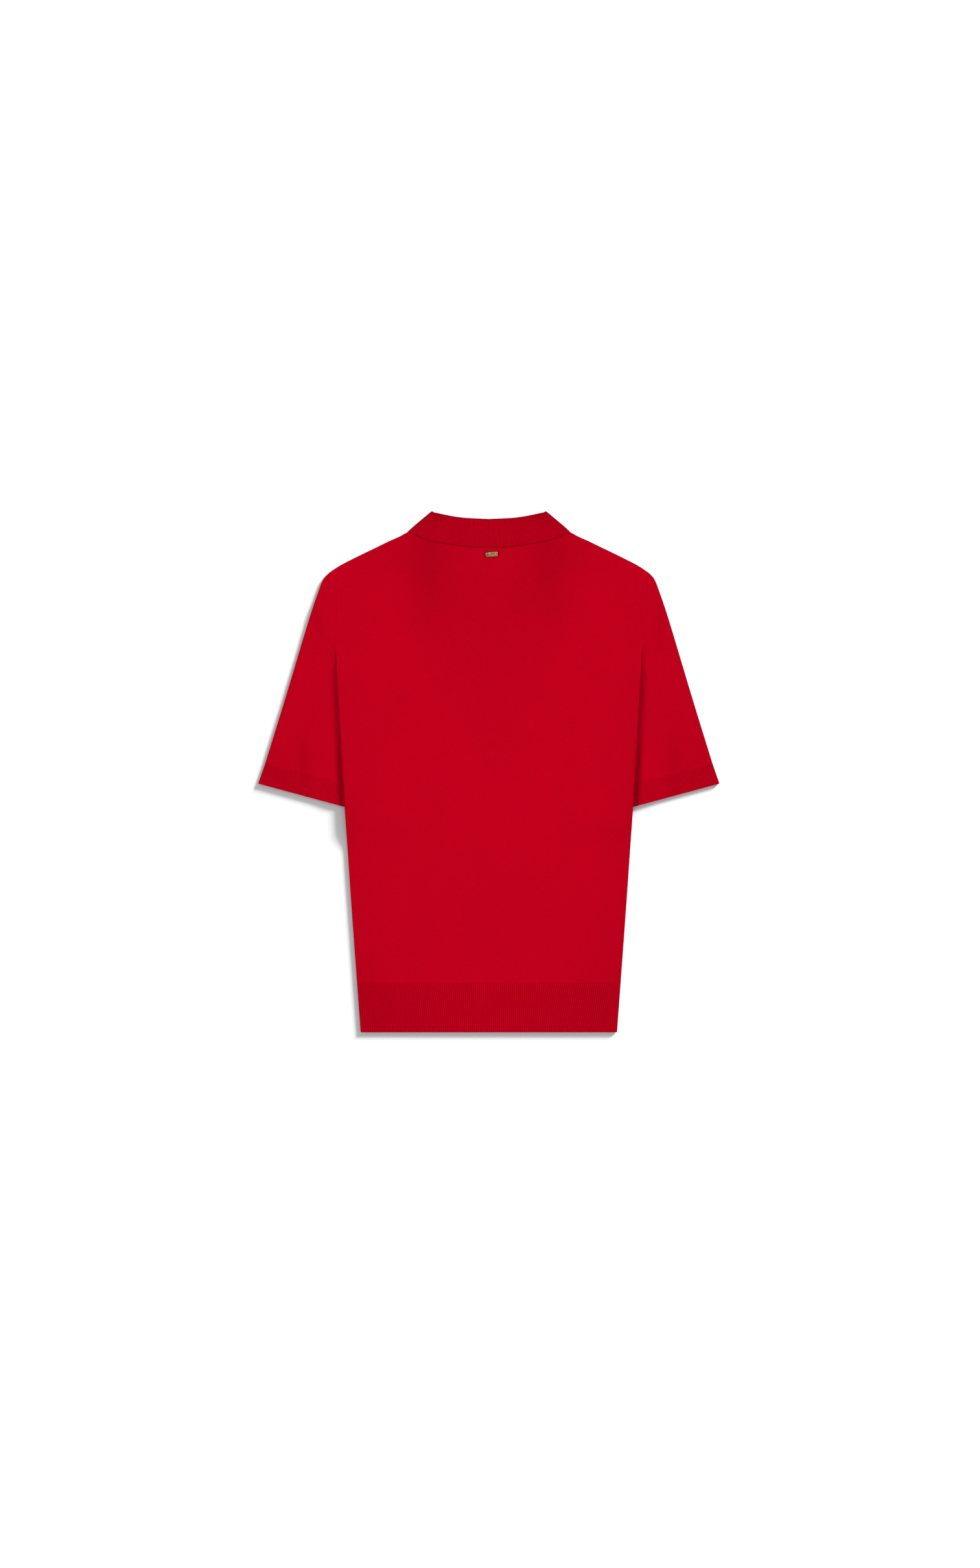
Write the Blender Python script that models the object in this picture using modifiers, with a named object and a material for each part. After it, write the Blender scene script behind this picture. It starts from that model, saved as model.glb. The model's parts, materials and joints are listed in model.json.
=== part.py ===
"""A short-sleeved knitted polo shirt laid flat, face down, with its back up.

X runs across the garment, +Y towards the collar and +Z up from the surface that it lies on.
Sizes are in millimetres, and they become metres where a mesh is made. Heights of cloth are
those of the middle of its wall."""

import math
from collections import namedtuple

import bmesh
import bpy
from mathutils import Vector

MM = 0.001

# Cloth
WALL = 1.2
HALF_WALL = WALL / 2
SEAM_GAP = 0.3
TURNED_GAP = 0.8
FOLD_RADIUS = 1.0
THICKEST_TURN = 1.15
WELD_REACH = 0.01
RIB_RELIEF = 0.5

# Body
LENGTH = 642.0
HEM_Y = -LENGTH / 2
HEM_RIB_HEIGHT = 61.4
HEM_RIB_TOP = HEM_Y + HEM_RIB_HEIGHT
HEM_HALF_WIDTH = 158.2
CHEST_HALF_WIDTH = 190.2
SIDE_BOW = 1.2
HEM_RIBS = 129

# The side edge of the body lies over the sleeve from CREASE_Y down, and the hidden underarm
# point, where the side seam starts, is at UNDERARM_Y.
CREASE_Y = 159.2
UNDERARM_Y = 57.6
CREASE_LENGTH = 45.0
SEAM_TUCK = 12.0
TUCK_START_Y = CREASE_Y - 0.8 * CREASE_LENGTH
SEAM_HIDDEN_Y = CREASE_Y - 0.75 * CREASE_LENGTH
SEAM_HIDING_LENGTH = 12.0
SEAM_ON_EDGE_Y = -90.0
FLAT_EDGE = 1.7
NEARLY_FLAT = 0.01
LEAST_TUCK = 0.5

# Sleeves and cuffs: the outer end of each line across the sleeve, and how it slopes
SLEEVE_END = (276.0, 11.2)
CUFF_END = (284.6, -13.9)
SLEEVE_END_INNER_X = 158.5
CUFF_INNER_X = 155.4
CUFF_SLOPE = 0.266
SLEEVE_END_SLOPE = 0.236
CUFF_RIBS = 58

# Placket, buttons and plate
BAND_HALF_WIDTH = 13.0
SLIT_HALF_WIDTH = BAND_HALF_WIDTH + SEAM_GAP
BAND_BOTTOM = 100.0
BAND_TOP = 236.0
UPPER_BAND_HEIGHT = 2.9
UNDER_BAND_HEIGHT = 4.4
BUTTON_RADIUS = 5.75
BUTTON_THICKNESS = 2.0
BUTTON_YS = (222.0, 172.0, 122.0)
PLATE_CENTRE = (3.4, 269.0)
PLATE_LENGTH = 14.4
PLATE_WIDTH = 5.8
PLATE_CORNER = 1.7
PLATE_THICKNESS = 1.0
PLATE_TURN = math.radians(4)
PLATE_HOLE_RADIUS = 0.7
PLATE_HOLE_X = 6.0

# Neck and collar
BACK_NECK = [(0, 287), (30, 288.5), (58, 294), (82, 302)]
FRONT_NECK = [(SLIT_HALF_WIDTH, 237), (40, 247), (62, 266), (76, 286), (82, 302)]
SHOULDER = [(82, 302), (98.6, 295), (105, 293.2), (113.4, 289.2), (147.8, 273.6), (181, 257), (196.6, 247.2)]
ARMHOLE = [(190.2, 159.2), (188.2, 190), (188.0, 218), (191.2, 234), (196.6, 247.2)]
SLEEVE_OUTER = [(196.6, 247.2), (204.4, 238.4), (211, 221.6), (223, 185.6), (251.8, 89.6), SLEEVE_END]
COLLAR_TOP = [(0, 312.7), (36, 314.9), (70.9, 321.5)]
COLLAR_EDGE_BACK = [(0, 277.8), (50, 282.4), (100.6, 297)]
COLLAR_EDGE_FRONT = [(100.6, 297), (84, 248), (62, 198)]
COLLAR_TOP_FRONT = [(70.9, 321.5), (40, 283), (3, 256)]
COLLAR_LAYERS = 1.8
COLLAR_END_X = 3.0
NECK_CORNER_GAP = 2.4
NECK_CORNER_EASE = 0.8
STAND_INSET = 1.6
TOP_INSET = 2.4
FALL_INSET = 3.2
NEAR_SIDE_START = 0.6

# Heights of cloth, and how far what lies under it lifts it. The sleeve's lift starts from
# nothing at the crease's start on the back, and just above the underarm on the front.
FRONT_HEIGHT = HALF_WALL
BACK_HEIGHT = FRONT_HEIGHT + 2 * FOLD_RADIUS
SLEEVE_LIFT = 4.1
LEAF_LIFT_FRONT = 1.55
LEAF_LIFT_BACK = 1.5
BAND_LIFT_FRONT = UPPER_BAND_HEIGHT - FRONT_HEIGHT
BAND_LIFT_BACK = 3.3
LEAF_OUTLINE = [(3, 256), (70.5, 321), (101, 298), (62, 196)]
FRONT_TURN_MARGIN = 42.0
FRONT_TURN_LENGTH = 40.0
BACK_TURN_LENGTH = 0.9 * CREASE_LENGTH
EDGE_LIFT_END_Y = -95.0
EDGE_LIFT_FADE = 36.0
BAND_LIFT_TOP = 14.0
BAND_LIFT_TOP_FADE = 36.0

# How a lift fades round what lies below: it is whole as far as the margin, then falls over the ramp
Fade = namedtuple("Fade", "margin ramp")
Fades = namedtuple("Fades", "sleeve leaf band_side band_end")
FRONT_FADES = Fades(sleeve=Fade(6, 20), leaf=Fade(8, 20), band_side=Fade(2, 14), band_end=Fade(4, 26))
BACK_FADES = Fades(sleeve=Fade(6, 89), leaf=Fade(4, 45), band_side=Fade(2, 50), band_end=Fade(4, 56))

# Columns and rows of the cloth grids
NECK_COLUMNS = 5
SHOULDER_COLUMNS = 7
YOKE_ROWS = 6
LOWER_ROWS = (-190, -130, -90, -60, -30, 5, 40)
UNDERARM_ROWS = (UNDERARM_Y - 3.5, UNDERARM_Y + 3.5)
CREASE_ROWS = (75, 95, 108, 117, 126, 134, 142, 151)
SLEEVE_ROWS = 7
ARC_STEPS = 3
COLLAR_ARC_STEPS = 4
STAND_SHARES = (0, 0.5)
FALL_SHARES = (0.35, 0.7, 1)


def smooth(t):
    """0 below 0, 1 above 1, and an S curve between."""
    t = min(max(t, 0.0), 1.0)
    return t * t * (3 - 2 * t)


def blended(values):
    """A soft maximum of heights, so that humps run into each other without a ridge."""
    return sum(v**4 for v in values) ** 0.25


def catmull(p0, p1, p2, p3, t):
    return 0.5 * (
        2 * p1
        + (p2 - p0) * t
        + (2 * p0 - 5 * p1 + 4 * p2 - p3) * t**2
        + (3 * p1 - p0 - 3 * p2 + p3) * t**3
    )


def dense_curve(points, steps=12):
    """A smooth curve through the points, as many short runs."""
    pts = [Vector(p) for p in points]
    pts = [2 * pts[0] - pts[1]] + pts + [2 * pts[-1] - pts[-2]]
    curve = [
        catmull(*pts[i : i + 4], k / steps) for i in range(len(pts) - 3) for k in range(steps)
    ]
    return curve + [pts[-2]]


def sampled(points, count):
    """count evenly spaced points on the smooth curve through the given ones."""
    curve = dense_curve(points)
    lengths = [0.0]
    for a, b in zip(curve, curve[1:]):
        lengths.append(lengths[-1] + (b - a).length)
    result = []
    run = 0
    for k in range(count):
        target = lengths[-1] * k / (count - 1)
        while run < len(curve) - 2 and lengths[run + 1] < target:
            run += 1
        t = (target - lengths[run]) / (lengths[run + 1] - lengths[run])
        result.append(curve[run].lerp(curve[run + 1], t))
    return result


def x_on(points, y):
    """Where a curve that climbs in y crosses the height y."""
    curve = dense_curve(points)
    for a, b in zip(curve, curve[1:]):
        if a.y <= y <= b.y:
            return a.lerp(b, (y - a.y) / (b.y - a.y)).x
    return curve[-1].x if y > curve[-1].y else curve[0].x


def normals_of(points, outward):
    """Unit normals of a flat curve, on the side of the given direction."""
    result = []
    for i in range(len(points)):
        along = points[min(i + 1, len(points) - 1)] - points[max(i - 1, 0)]
        normal = Vector((-along.y, along.x)).normalized()
        result.append(normal if normal.dot(outward) > 0 else -normal)
    return result


# The side of the body


def side_edge(y):
    """Half the width of the body as it lies."""
    t = (y - HEM_Y) / (CREASE_Y - HEM_Y)
    straight = HEM_HALF_WIDTH + (CHEST_HALF_WIDTH - HEM_HALF_WIDTH) * t
    return straight + SIDE_BOW * math.sin(math.pi * min(max(t, 0), 1))


def fold_share(y):
    """How far the back has turned over its side edge: 0 at the crease's start, 1 when folded."""
    return smooth((CREASE_Y - y) / CREASE_LENGTH)


def seam_tuck(y):
    """How far inside the fold the hidden seam runs."""
    if y > UNDERARM_Y:
        return SEAM_TUCK * smooth((TUCK_START_Y - y) / (TUCK_START_Y - UNDERARM_Y))
    return SEAM_TUCK * smooth((y - SEAM_ON_EDGE_Y) / (UNDERARM_Y - SEAM_ON_EDGE_Y))


def fold_start(y):
    """Where the back's flat part ends and its turn over the edge starts."""
    share = fold_share(y)
    turn = math.pi * share
    arc = FLAT_EDGE + (math.pi * FOLD_RADIUS - FLAT_EDGE) * share
    if share < NEARLY_FLAT:
        return side_edge(y) - SEAM_GAP / 2 - arc
    radius = arc / turn
    reach = radius + HALF_WALL if turn > math.pi / 2 else (radius + HALF_WALL) * math.sin(turn)
    return side_edge(y) - reach - SEAM_GAP / 2 * (1 - share)


def seam_run(y):
    """The seam's place, as a run of cloth from the start of the fold."""
    arc = math.pi * FOLD_RADIUS
    if y >= UNDERARM_Y:
        return FLAT_EDGE + (arc - FLAT_EDGE) * fold_share(y) + seam_tuck(y)
    return arc / 2 + (arc / 2 + SEAM_TUCK) * seam_tuck(y) / SEAM_TUCK


def round_edge(y, run):
    """A point on the side's fold, the given run of cloth from its start: x and drop."""
    share = fold_share(y)
    arc = FLAT_EDGE + (math.pi * FOLD_RADIUS - FLAT_EDGE) * share
    turn = math.pi * share
    start = fold_start(y)
    if share < NEARLY_FLAT:
        return start + run, 0.0
    radius = arc / turn
    on_arc = min(run, arc)
    angle = on_arc / radius
    past = run - on_arc
    x = start + radius * math.sin(angle) + past * math.cos(turn)
    drop = radius * (1 - math.cos(angle)) + past * math.sin(turn)
    return x, drop


def seam_x(y):
    """The seam between the body and the sleeve, above the underarm."""
    if y >= CREASE_Y:
        return x_on(ARMHOLE, y)
    inside = fold_start(y) - seam_tuck(y)
    hidden = smooth((SEAM_HIDDEN_Y - y) / SEAM_HIDING_LENGTH)
    return side_edge(y) * (1 - hidden) + inside * hidden


def sleeve_inner_x(y):
    """The sleeve's hidden inner edge, which lies under the body below the underarm."""
    if y >= UNDERARM_Y:
        return seam_x(y)
    t = (UNDERARM_Y - y) / (UNDERARM_Y - line_y(CUFF_END, CUFF_SLOPE, CUFF_INNER_X))
    return seam_x(UNDERARM_Y) * (1 - min(t, 1)) + CUFF_INNER_X * min(t, 1)


def line_y(outer, slope, x):
    """The height of a line across the sleeve that starts at its outer end."""
    return outer[1] - (outer[0] - x) * slope


# Heights of the two panels


def leaf_distance(x, y):
    """Distance from the folded collar's front leaf, negative inside it."""
    p = Vector((x, y))
    corners = [Vector(c) for c in LEAF_OUTLINE]
    inside = True
    nearest = 1e9
    for a, b in zip(corners, corners[1:] + corners[:1]):
        edge = b - a
        t = min(max((p - a).dot(edge) / edge.length_squared, 0), 1)
        nearest = min(nearest, (p - a - edge * t).length)
        inside = inside and edge.x * (p.y - a.y) - edge.y * (p.x - a.x) < 0
    return -nearest if inside else nearest


def faded(distance, fade):
    """The share of a lift at a distance from what lies below."""
    return 1 - smooth((distance - fade.margin) / fade.ramp)


def shares(x, y, fades):
    """How far the cloth is lifted by the sleeve, the collar's leaf and the placket below it."""
    sleeve = faded(sleeve_inner_x(y) - x, fades.sleeve)
    sleeve *= smooth((y - EDGE_LIFT_END_Y) / EDGE_LIFT_FADE)
    leaf = faded(leaf_distance(x, y), fades.leaf)
    band = faded(x - BAND_HALF_WIDTH, fades.band_side) * faded(BAND_BOTTOM - y, fades.band_end)
    return sleeve, leaf, band


def front_height(x, y):
    sleeve, leaf, band = shares(abs(x), y, FRONT_FADES)
    sleeve *= smooth((UNDERARM_Y + FRONT_TURN_MARGIN - y) / FRONT_TURN_LENGTH)
    lifts = (SLEEVE_LIFT * sleeve, LEAF_LIFT_FRONT * leaf, BAND_LIFT_FRONT * band)
    return FRONT_HEIGHT + blended(lifts)


def back_height(x, y):
    sleeve, leaf, band = shares(abs(x), y, BACK_FADES)
    sleeve *= smooth((CREASE_Y - y) / BACK_TURN_LENGTH)
    band *= 1 - smooth((y - BAND_TOP - BAND_LIFT_TOP) / BAND_LIFT_TOP_FADE)
    lifts = (SLEEVE_LIFT * sleeve, LEAF_LIFT_BACK * leaf, BAND_LIFT_BACK * band)
    return BACK_HEIGHT + blended(lifts)


# Grids of points


def column_x(i, end):
    """Where the panels' columns stand on a level row: the first is at the slit's edge."""
    if i == 0:
        return 0.0
    columns = NECK_COLUMNS + SHOULDER_COLUMNS
    return SLIT_HALF_WIDTH + (end - SLIT_HALF_WIDTH) * (i - 1) / (columns - 1)


def neckline(is_back):
    """The points of the half neckline that the panel and the collar share."""
    if is_back:
        return sampled(BACK_NECK, NECK_COLUMNS + 1)
    slit = Vector(FRONT_NECK[0])
    return [Vector((0, slit.y))] + sampled(FRONT_NECK, NECK_COLUMNS)


def armhole_line():
    """The seam between the body and the sleeve, from the shoulder down to the underarm."""
    visible = sampled(ARMHOLE, YOKE_ROWS + 1)[::-1]
    hidden = [Vector((seam_x(y), y)) for y in (*CREASE_ROWS[::-1], UNDERARM_Y)]
    return visible + hidden


def shoulder_tip_normal():
    return normals_of(sampled(SHOULDER, SHOULDER_COLUMNS + 1), Vector((0, 1)))[-1]


def panel_grid(is_back):
    """Rows of points for the right half of a panel, from the hem rib up to neck and shoulder."""
    ys = (HEM_RIB_TOP + SEAM_GAP / 2, *LOWER_ROWS, *UNDERARM_ROWS, *CREASE_ROWS)
    return [body_row(y, is_back, column_x) for y in ys] + yoke_rows(is_back)


def body_row(y, is_back, place, columns=NECK_COLUMNS + SHOULDER_COLUMNS):
    """One level row of a panel, from the centre out and over the side's fold."""
    height = back_height if is_back else front_height
    start = fold_start(y) if is_back else front_start(y)
    flat = [place(i, start) for i in range(columns + 1)]
    row = [Vector((x, y, height(x, y))) for x in flat]
    if y >= UNDERARM_Y and not is_back:
        edge = [start + run for run in flat_runs(ARC_STEPS)]
        return row + [Vector((x, y, height(x, y))) for x in edge]
    top = back_height(fold_start(y), y)
    for run in back_runs(y) if is_back else front_runs(y):
        x, drop = round_edge(y, run)
        row.append(Vector((x, y, top - drop)))
    return row


def flat_runs(columns):
    return [FLAT_EDGE * k / columns for k in range(1, columns + 1)]


def turned_gap(y):
    """The gap at the side seam, wider where its edges meet on the round."""
    return SEAM_GAP + (TURNED_GAP - SEAM_GAP) * (1 - seam_tuck(y) / SEAM_TUCK)


def back_runs(y):
    """The columns past the fold's start on the back: along the arc, then the tuck."""
    gap = SEAM_GAP if y >= UNDERARM_Y else turned_gap(y)
    end = seam_run(y) - gap / 2
    arc = min(end - LEAST_TUCK, math.pi * FOLD_RADIUS)
    return [arc * k / ARC_STEPS for k in range(1, ARC_STEPS + 1)] + [end]


def front_start(y):
    """Where the front's flat columns end."""
    if y >= UNDERARM_Y:
        return seam_x(y) - SEAM_GAP / 2 - FLAT_EDGE
    return round_edge(y, front_first_run(y))[0]


def front_first_run(y):
    return max(math.pi * FOLD_RADIUS, seam_run(y) + FLAT_EDGE)


def front_runs(y):
    """The columns past the front's flat part, on the same fold from below."""
    first = front_first_run(y)
    last = seam_run(y) + turned_gap(y) / 2
    return [first + (last - first) * k / ARC_STEPS for k in range(1, ARC_STEPS + 1)]


def patch(bottom, top, start, end):
    """Rows of points that fill four edges: bottom and top run across, start and end up."""
    rows = []
    for j in range(len(start)):
        v = j / (len(start) - 1)
        row = []
        for i in range(len(bottom)):
            u = i / (len(bottom) - 1)
            p = bottom[i].lerp(top[i], v) + start[j].lerp(end[j], u)
            p -= bottom[0].lerp(top[0], v).lerp(bottom[-1].lerp(top[-1], v), u)
            row.append(p)
        rows.append(row)
    return rows


def yoke_rows(is_back):
    """Rows between the crease's start and the neck and shoulder, whose edge turns over."""
    height = back_height if is_back else front_height
    neck = neckline(is_back)
    shoulder = sampled(SHOULDER, SHOULDER_COLUMNS + 1)
    up = Vector((0, 1))
    normals = normals_of(neck, up)[:-1] + normals_of(shoulder, up)
    neck_inset = FLAT_EDGE + SEAM_GAP / 2
    insets = [neck_inset] * NECK_COLUMNS + [FOLD_RADIUS + HALF_WALL] * (SHOULDER_COLUMNS + 1)
    top = [p - n * d for p, n, d in zip(neck[:-1] + shoulder, normals, insets)]
    armhole = sampled(ARMHOLE, YOKE_ROWS + 1)
    sideways = normals_of(armhole, Vector((1, 0)))
    side = [p - n * (FLAT_EDGE + SEAM_GAP / 2) for p, n in zip(armhole, sideways)]
    corner = top[-1] - sideways[-1] * (FLAT_EDGE + SEAM_GAP / 2)
    side[-1] = top[-1] = corner
    bottom = [Vector((column_x(i, side[0].x), CREASE_Y)) for i in range(len(top))]
    centre = [bottom[0].lerp(top[0], j / YOKE_ROWS) for j in range(YOKE_ROWS + 1)]
    edge_columns = ARC_STEPS + (1 if is_back else 0)
    rows = []
    for flat, p, n in zip(patch(bottom, top, centre, side), side, sideways):
        out = [p + n * run for run in flat_runs(edge_columns)]
        rows.append([Vector((q.x, q.y, height(q.x, q.y))) for q in flat + out])
    return rows + edge_rows(rows[-1], normals, -1 if is_back else 1)


def edge_rows(last, normals, sign):
    """Rows that carry the yoke's top edge on: flat at the neck, turned over at the shoulder,
    down where sign is -1 and up where it is 1."""
    result = []
    for k in range(1, ARC_STEPS + 1):
        row = []
        for i, p in enumerate(last):
            normal = normals[min(i, len(normals) - 1)]
            reach, turn = FLAT_EDGE * k / ARC_STEPS, 0
            if i >= NECK_COLUMNS:
                radius = (back_height(p.x, p.y) - front_height(p.x, p.y)) / 2
                angle = (math.pi / 2 - math.asin(TURNED_GAP / 2 / radius)) * k / ARC_STEPS
                angle *= NECK_CORNER_EASE if i == NECK_COLUMNS else 1
                reach = radius * math.sin(angle)
                turn = sign * radius * (1 - math.cos(angle))
            row.append(Vector((p.x + normal.x * reach, p.y + normal.y * reach, p.z + turn)))
        result.append(row)
    return result


def both_halves(rows):
    """Rows across the whole width from rows of the right half."""
    return [[Vector((-p.x, p.y, p.z)) for p in reversed(row[1:])] + row for row in rows]


# Solids


def add_object(name, mesh, material):
    mesh.materials.append(material)
    mesh.shade_smooth()
    mesh.set_sharp_from_angle(angle=math.radians(50))
    obj = bpy.data.objects.new(name, mesh)
    GARMENT.objects.link(obj)
    return obj


def cloth(name, rows, material, loop=False, relief=None, leave_out=None, mirrored=False):
    """A wall of cloth round a grid of its middle points. Faces look up where the rows run
    towards +Y and the columns towards +X. relief(row, column) raises a point on that side."""
    middle = bmesh.new()
    points = [[middle.verts.new(p * MM) for p in row] for row in rows]
    count = len(rows[0])
    for j in range(len(rows) - 1):
        for i in range(count if loop else count - 1):
            if leave_out and leave_out(j, i):
                continue
            n = (i + 1) % count
            middle.faces.new((points[j][i], points[j][n], points[j + 1][n], points[j + 1][i]))
    for vert in [v for v in middle.verts if not v.link_faces]:
        middle.verts.remove(vert)
    middle.normal_update()
    solid = bmesh.new()
    outer, inner = {}, {}
    for j, row in enumerate(points):
        for i, vert in enumerate(row):
            if not vert.is_valid:
                continue
            offset = vert.normal * HALF_WALL * MM * min(vert.calc_shell_factor(), THICKEST_TURN)
            raised = vert.normal * (relief(j, i) if relief else 0) * MM
            outer[vert] = solid.verts.new(vert.co + offset + raised)
            inner[vert] = solid.verts.new(vert.co - offset)
    for face in middle.faces:
        solid.faces.new([outer[v] for v in face.verts])
        solid.faces.new([inner[v] for v in reversed(face.verts)])
        for corner in face.loops:
            if corner.edge.is_boundary:
                a, b = corner.vert, corner.link_loop_next.vert
                solid.faces.new((outer[b], outer[a], inner[a], inner[b]))
    if mirrored:
        for vert in solid.verts:
            vert.co.x = -vert.co.x
        bmesh.ops.reverse_faces(solid, faces=solid.faces)
    mesh = bpy.data.meshes.new(name)
    solid.to_mesh(mesh)
    middle.free()
    solid.free()
    return add_object(name, mesh, material)


def make_material(name, colour, roughness, metallic=0.0):
    material = bpy.data.materials.new(name)
    material.use_nodes = True
    shader = material.node_tree.nodes["Principled BSDF"]
    shader.inputs["Base Color"].default_value = (*colour, 1)
    shader.inputs["Roughness"].default_value = roughness
    shader.inputs["Metallic"].default_value = metallic
    return material


def make_back(material):
    cloth("back_panel", both_halves(panel_grid(True)), material)


def make_front(material):
    """The front, with the slit for the placket left open at its centre."""
    rows = both_halves(panel_grid(False))
    middle = len(rows[0]) // 2
    heights = [row[middle].y for row in rows]
    first = min(range(len(rows)), key=lambda j: abs(heights[j] - BAND_BOTTOM))
    for point in rows[first]:
        point.y += (BAND_BOTTOM - heights[first]) * (1 - smooth((abs(point.x) - 60) / 60))

    def in_slit(j, i):
        return j >= first and i in (middle - 1, middle)

    cloth("front_panel", [row[::-1] for row in rows], material, leave_out=in_slit)


def make_hem(material):
    """The welt: ribs stand out on the back, and the front, which lies below, is plain."""
    ys = (HEM_Y, HEM_RIB_TOP - SEAM_GAP / 2)

    def evenly(count):
        return lambda i, end: end * i / count

    back = both_halves([body_row(y, True, evenly(HEM_RIBS), HEM_RIBS) for y in ys])
    middle = len(back[0]) // 2

    def rib(_, i):
        across = abs(i - middle)
        return RIB_RELIEF if across < HEM_RIBS and across % 2 == 0 else 0

    cloth("hem_rib_back", back, material, relief=rib)
    front = both_halves([body_row(y, False, evenly(NECK_COLUMNS), NECK_COLUMNS) for y in ys])
    cloth("hem_rib_front", [row[::-1] for row in front], material)


def sleeve_patch():
    """Flat points of one layer of the sleeve: rows from the armhole down, columns from the
    outer fold in, inset so that the folds reach the outline. The folds' directions follow."""
    inset = FOLD_RADIUS + HALF_WALL
    half_gap = SEAM_GAP / 2
    armhole = armhole_line()
    arm = [p + n * half_gap for p, n in zip(armhole, normals_of(armhole, Vector((1, 0))))]
    outer = sampled(SLEEVE_OUTER, SLEEVE_ROWS + 1)
    out_normals = normals_of(outer, Vector((1, 0.3)))
    out_normals[0] = shoulder_tip_normal()
    out = [p - n * inset for p, n in zip(outer, out_normals)]
    out[0] = arm[0] - out_normals[0] * inset
    inner_end = Vector((SLEEVE_END_INNER_X, line_y(SLEEVE_END, SLEEVE_END_SLOPE, SLEEVE_END_INNER_X)))
    under = sampled([armhole[-1], inner_end], SLEEVE_ROWS + 1)
    in_normals = normals_of(under, Vector((-1, 0)))
    under = [p - n * inset for p, n in zip(under, in_normals)]
    out[-1] = out[-1] + Vector((0, half_gap))
    under[-1] = under[-1] + Vector((0, half_gap))
    arm[0], arm[-1] = out[0], under[0]
    low = [out[-1].lerp(under[-1], i / (len(arm) - 1)) for i in range(len(arm))]
    return patch(arm, low, out, under), out_normals, in_normals


def tube_loop(flat, out_normal, in_normal, under=None):
    """One loop of a flattened tube: over the top from the outer fold in, and back below.
    under gives the lower layer's points where they differ."""
    loop = [Vector((p.x, p.y, BACK_HEIGHT)) for p in flat]
    middle = (BACK_HEIGHT + FRONT_HEIGHT) / 2
    turns = [math.pi * k / ARC_STEPS for k in range(1, ARC_STEPS)]
    for angle in turns:
        p = flat[-1] + in_normal * FOLD_RADIUS * math.sin(angle)
        loop.append(Vector((p.x, p.y, middle + FOLD_RADIUS * math.cos(angle))))
    loop += [Vector((p.x, p.y, FRONT_HEIGHT)) for p in reversed(under or flat)]
    for angle in turns:
        p = flat[0] + out_normal * FOLD_RADIUS * math.sin(angle)
        loop.append(Vector((p.x, p.y, middle - FOLD_RADIUS * math.cos(angle))))
    return loop


def make_sleeves(material):
    loops = [tube_loop(row, o, n) for row, o, n in zip(*sleeve_patch())]
    for name, mirrored in (("sleeve_right", False), ("sleeve_left", True)):
        cloth(name, loops, material, loop=True, mirrored=mirrored)


def cuff_rows(columns):
    """The cuff's two lines across the sleeve, top and bottom, and the folds' directions."""
    top_out, low_out = Vector(SLEEVE_END), Vector(CUFF_END)
    top_in = Vector((SLEEVE_END_INNER_X, line_y(SLEEVE_END, SLEEVE_END_SLOPE, SLEEVE_END_INNER_X)))
    low_in = Vector((CUFF_INNER_X, line_y(CUFF_END, CUFF_SLOPE, CUFF_INNER_X)))
    out_normal = normals_of([top_out, low_out], Vector((1, 0)))[0]
    in_normal = normals_of([top_in, low_in], Vector((-1, 0)))[0]
    inset = FOLD_RADIUS + HALF_WALL
    seam = Vector((0, SEAM_GAP / 2))
    ends = (
        (top_out - out_normal * inset - seam, top_in - in_normal * inset - seam),
        (low_out - out_normal * inset, low_in - in_normal * inset),
    )
    rows = [[a.lerp(b, i / columns) for i in range(columns + 1)] for a, b in ends]
    return rows, out_normal, in_normal


def make_cuffs(material):
    """Tubes whose ribs stand out on the upper layer."""
    columns = 2 * CUFF_RIBS
    rows, out_normal, in_normal = cuff_rows(columns)
    plain_rows = cuff_rows(NECK_COLUMNS)[0]
    loops = [tube_loop(row, out_normal, in_normal, low) for row, low in zip(rows, plain_rows)]

    def rib(_, i):
        return RIB_RELIEF if i < columns and i % 2 == 1 else 0

    for name, mirrored in (("cuff_right", False), ("cuff_left", True)):
        cloth(name, loops, material, loop=True, relief=rib, mirrored=mirrored)


def collar_section(neck, top, edge, stand_z, fall_z):
    """Across the collar: up the stand, over the fold and down the fall."""
    direction = ((top - neck).normalized() + (top - edge).normalized()).normalized()
    radius = abs(fall_z(edge) - stand_z) / 2
    centre = top - direction * (radius + HALF_WALL)
    fold_z = fall_z(centre)
    section = []
    for t in STAND_SHARES:
        p = neck.lerp(centre, t)
        section.append(Vector((p.x, p.y, stand_z)))
    for k in range(COLLAR_ARC_STEPS + 1):
        angle = math.pi * k / COLLAR_ARC_STEPS
        p = centre + direction * radius * math.sin(angle)
        section.append(Vector((p.x, p.y, stand_z + (fold_z - stand_z) * (1 - math.cos(angle)) / 2)))
    for t in FALL_SHARES:
        p = centre.lerp(edge, t)
        section.append(Vector((p.x, p.y, fall_z(p))))
    return section


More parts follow.
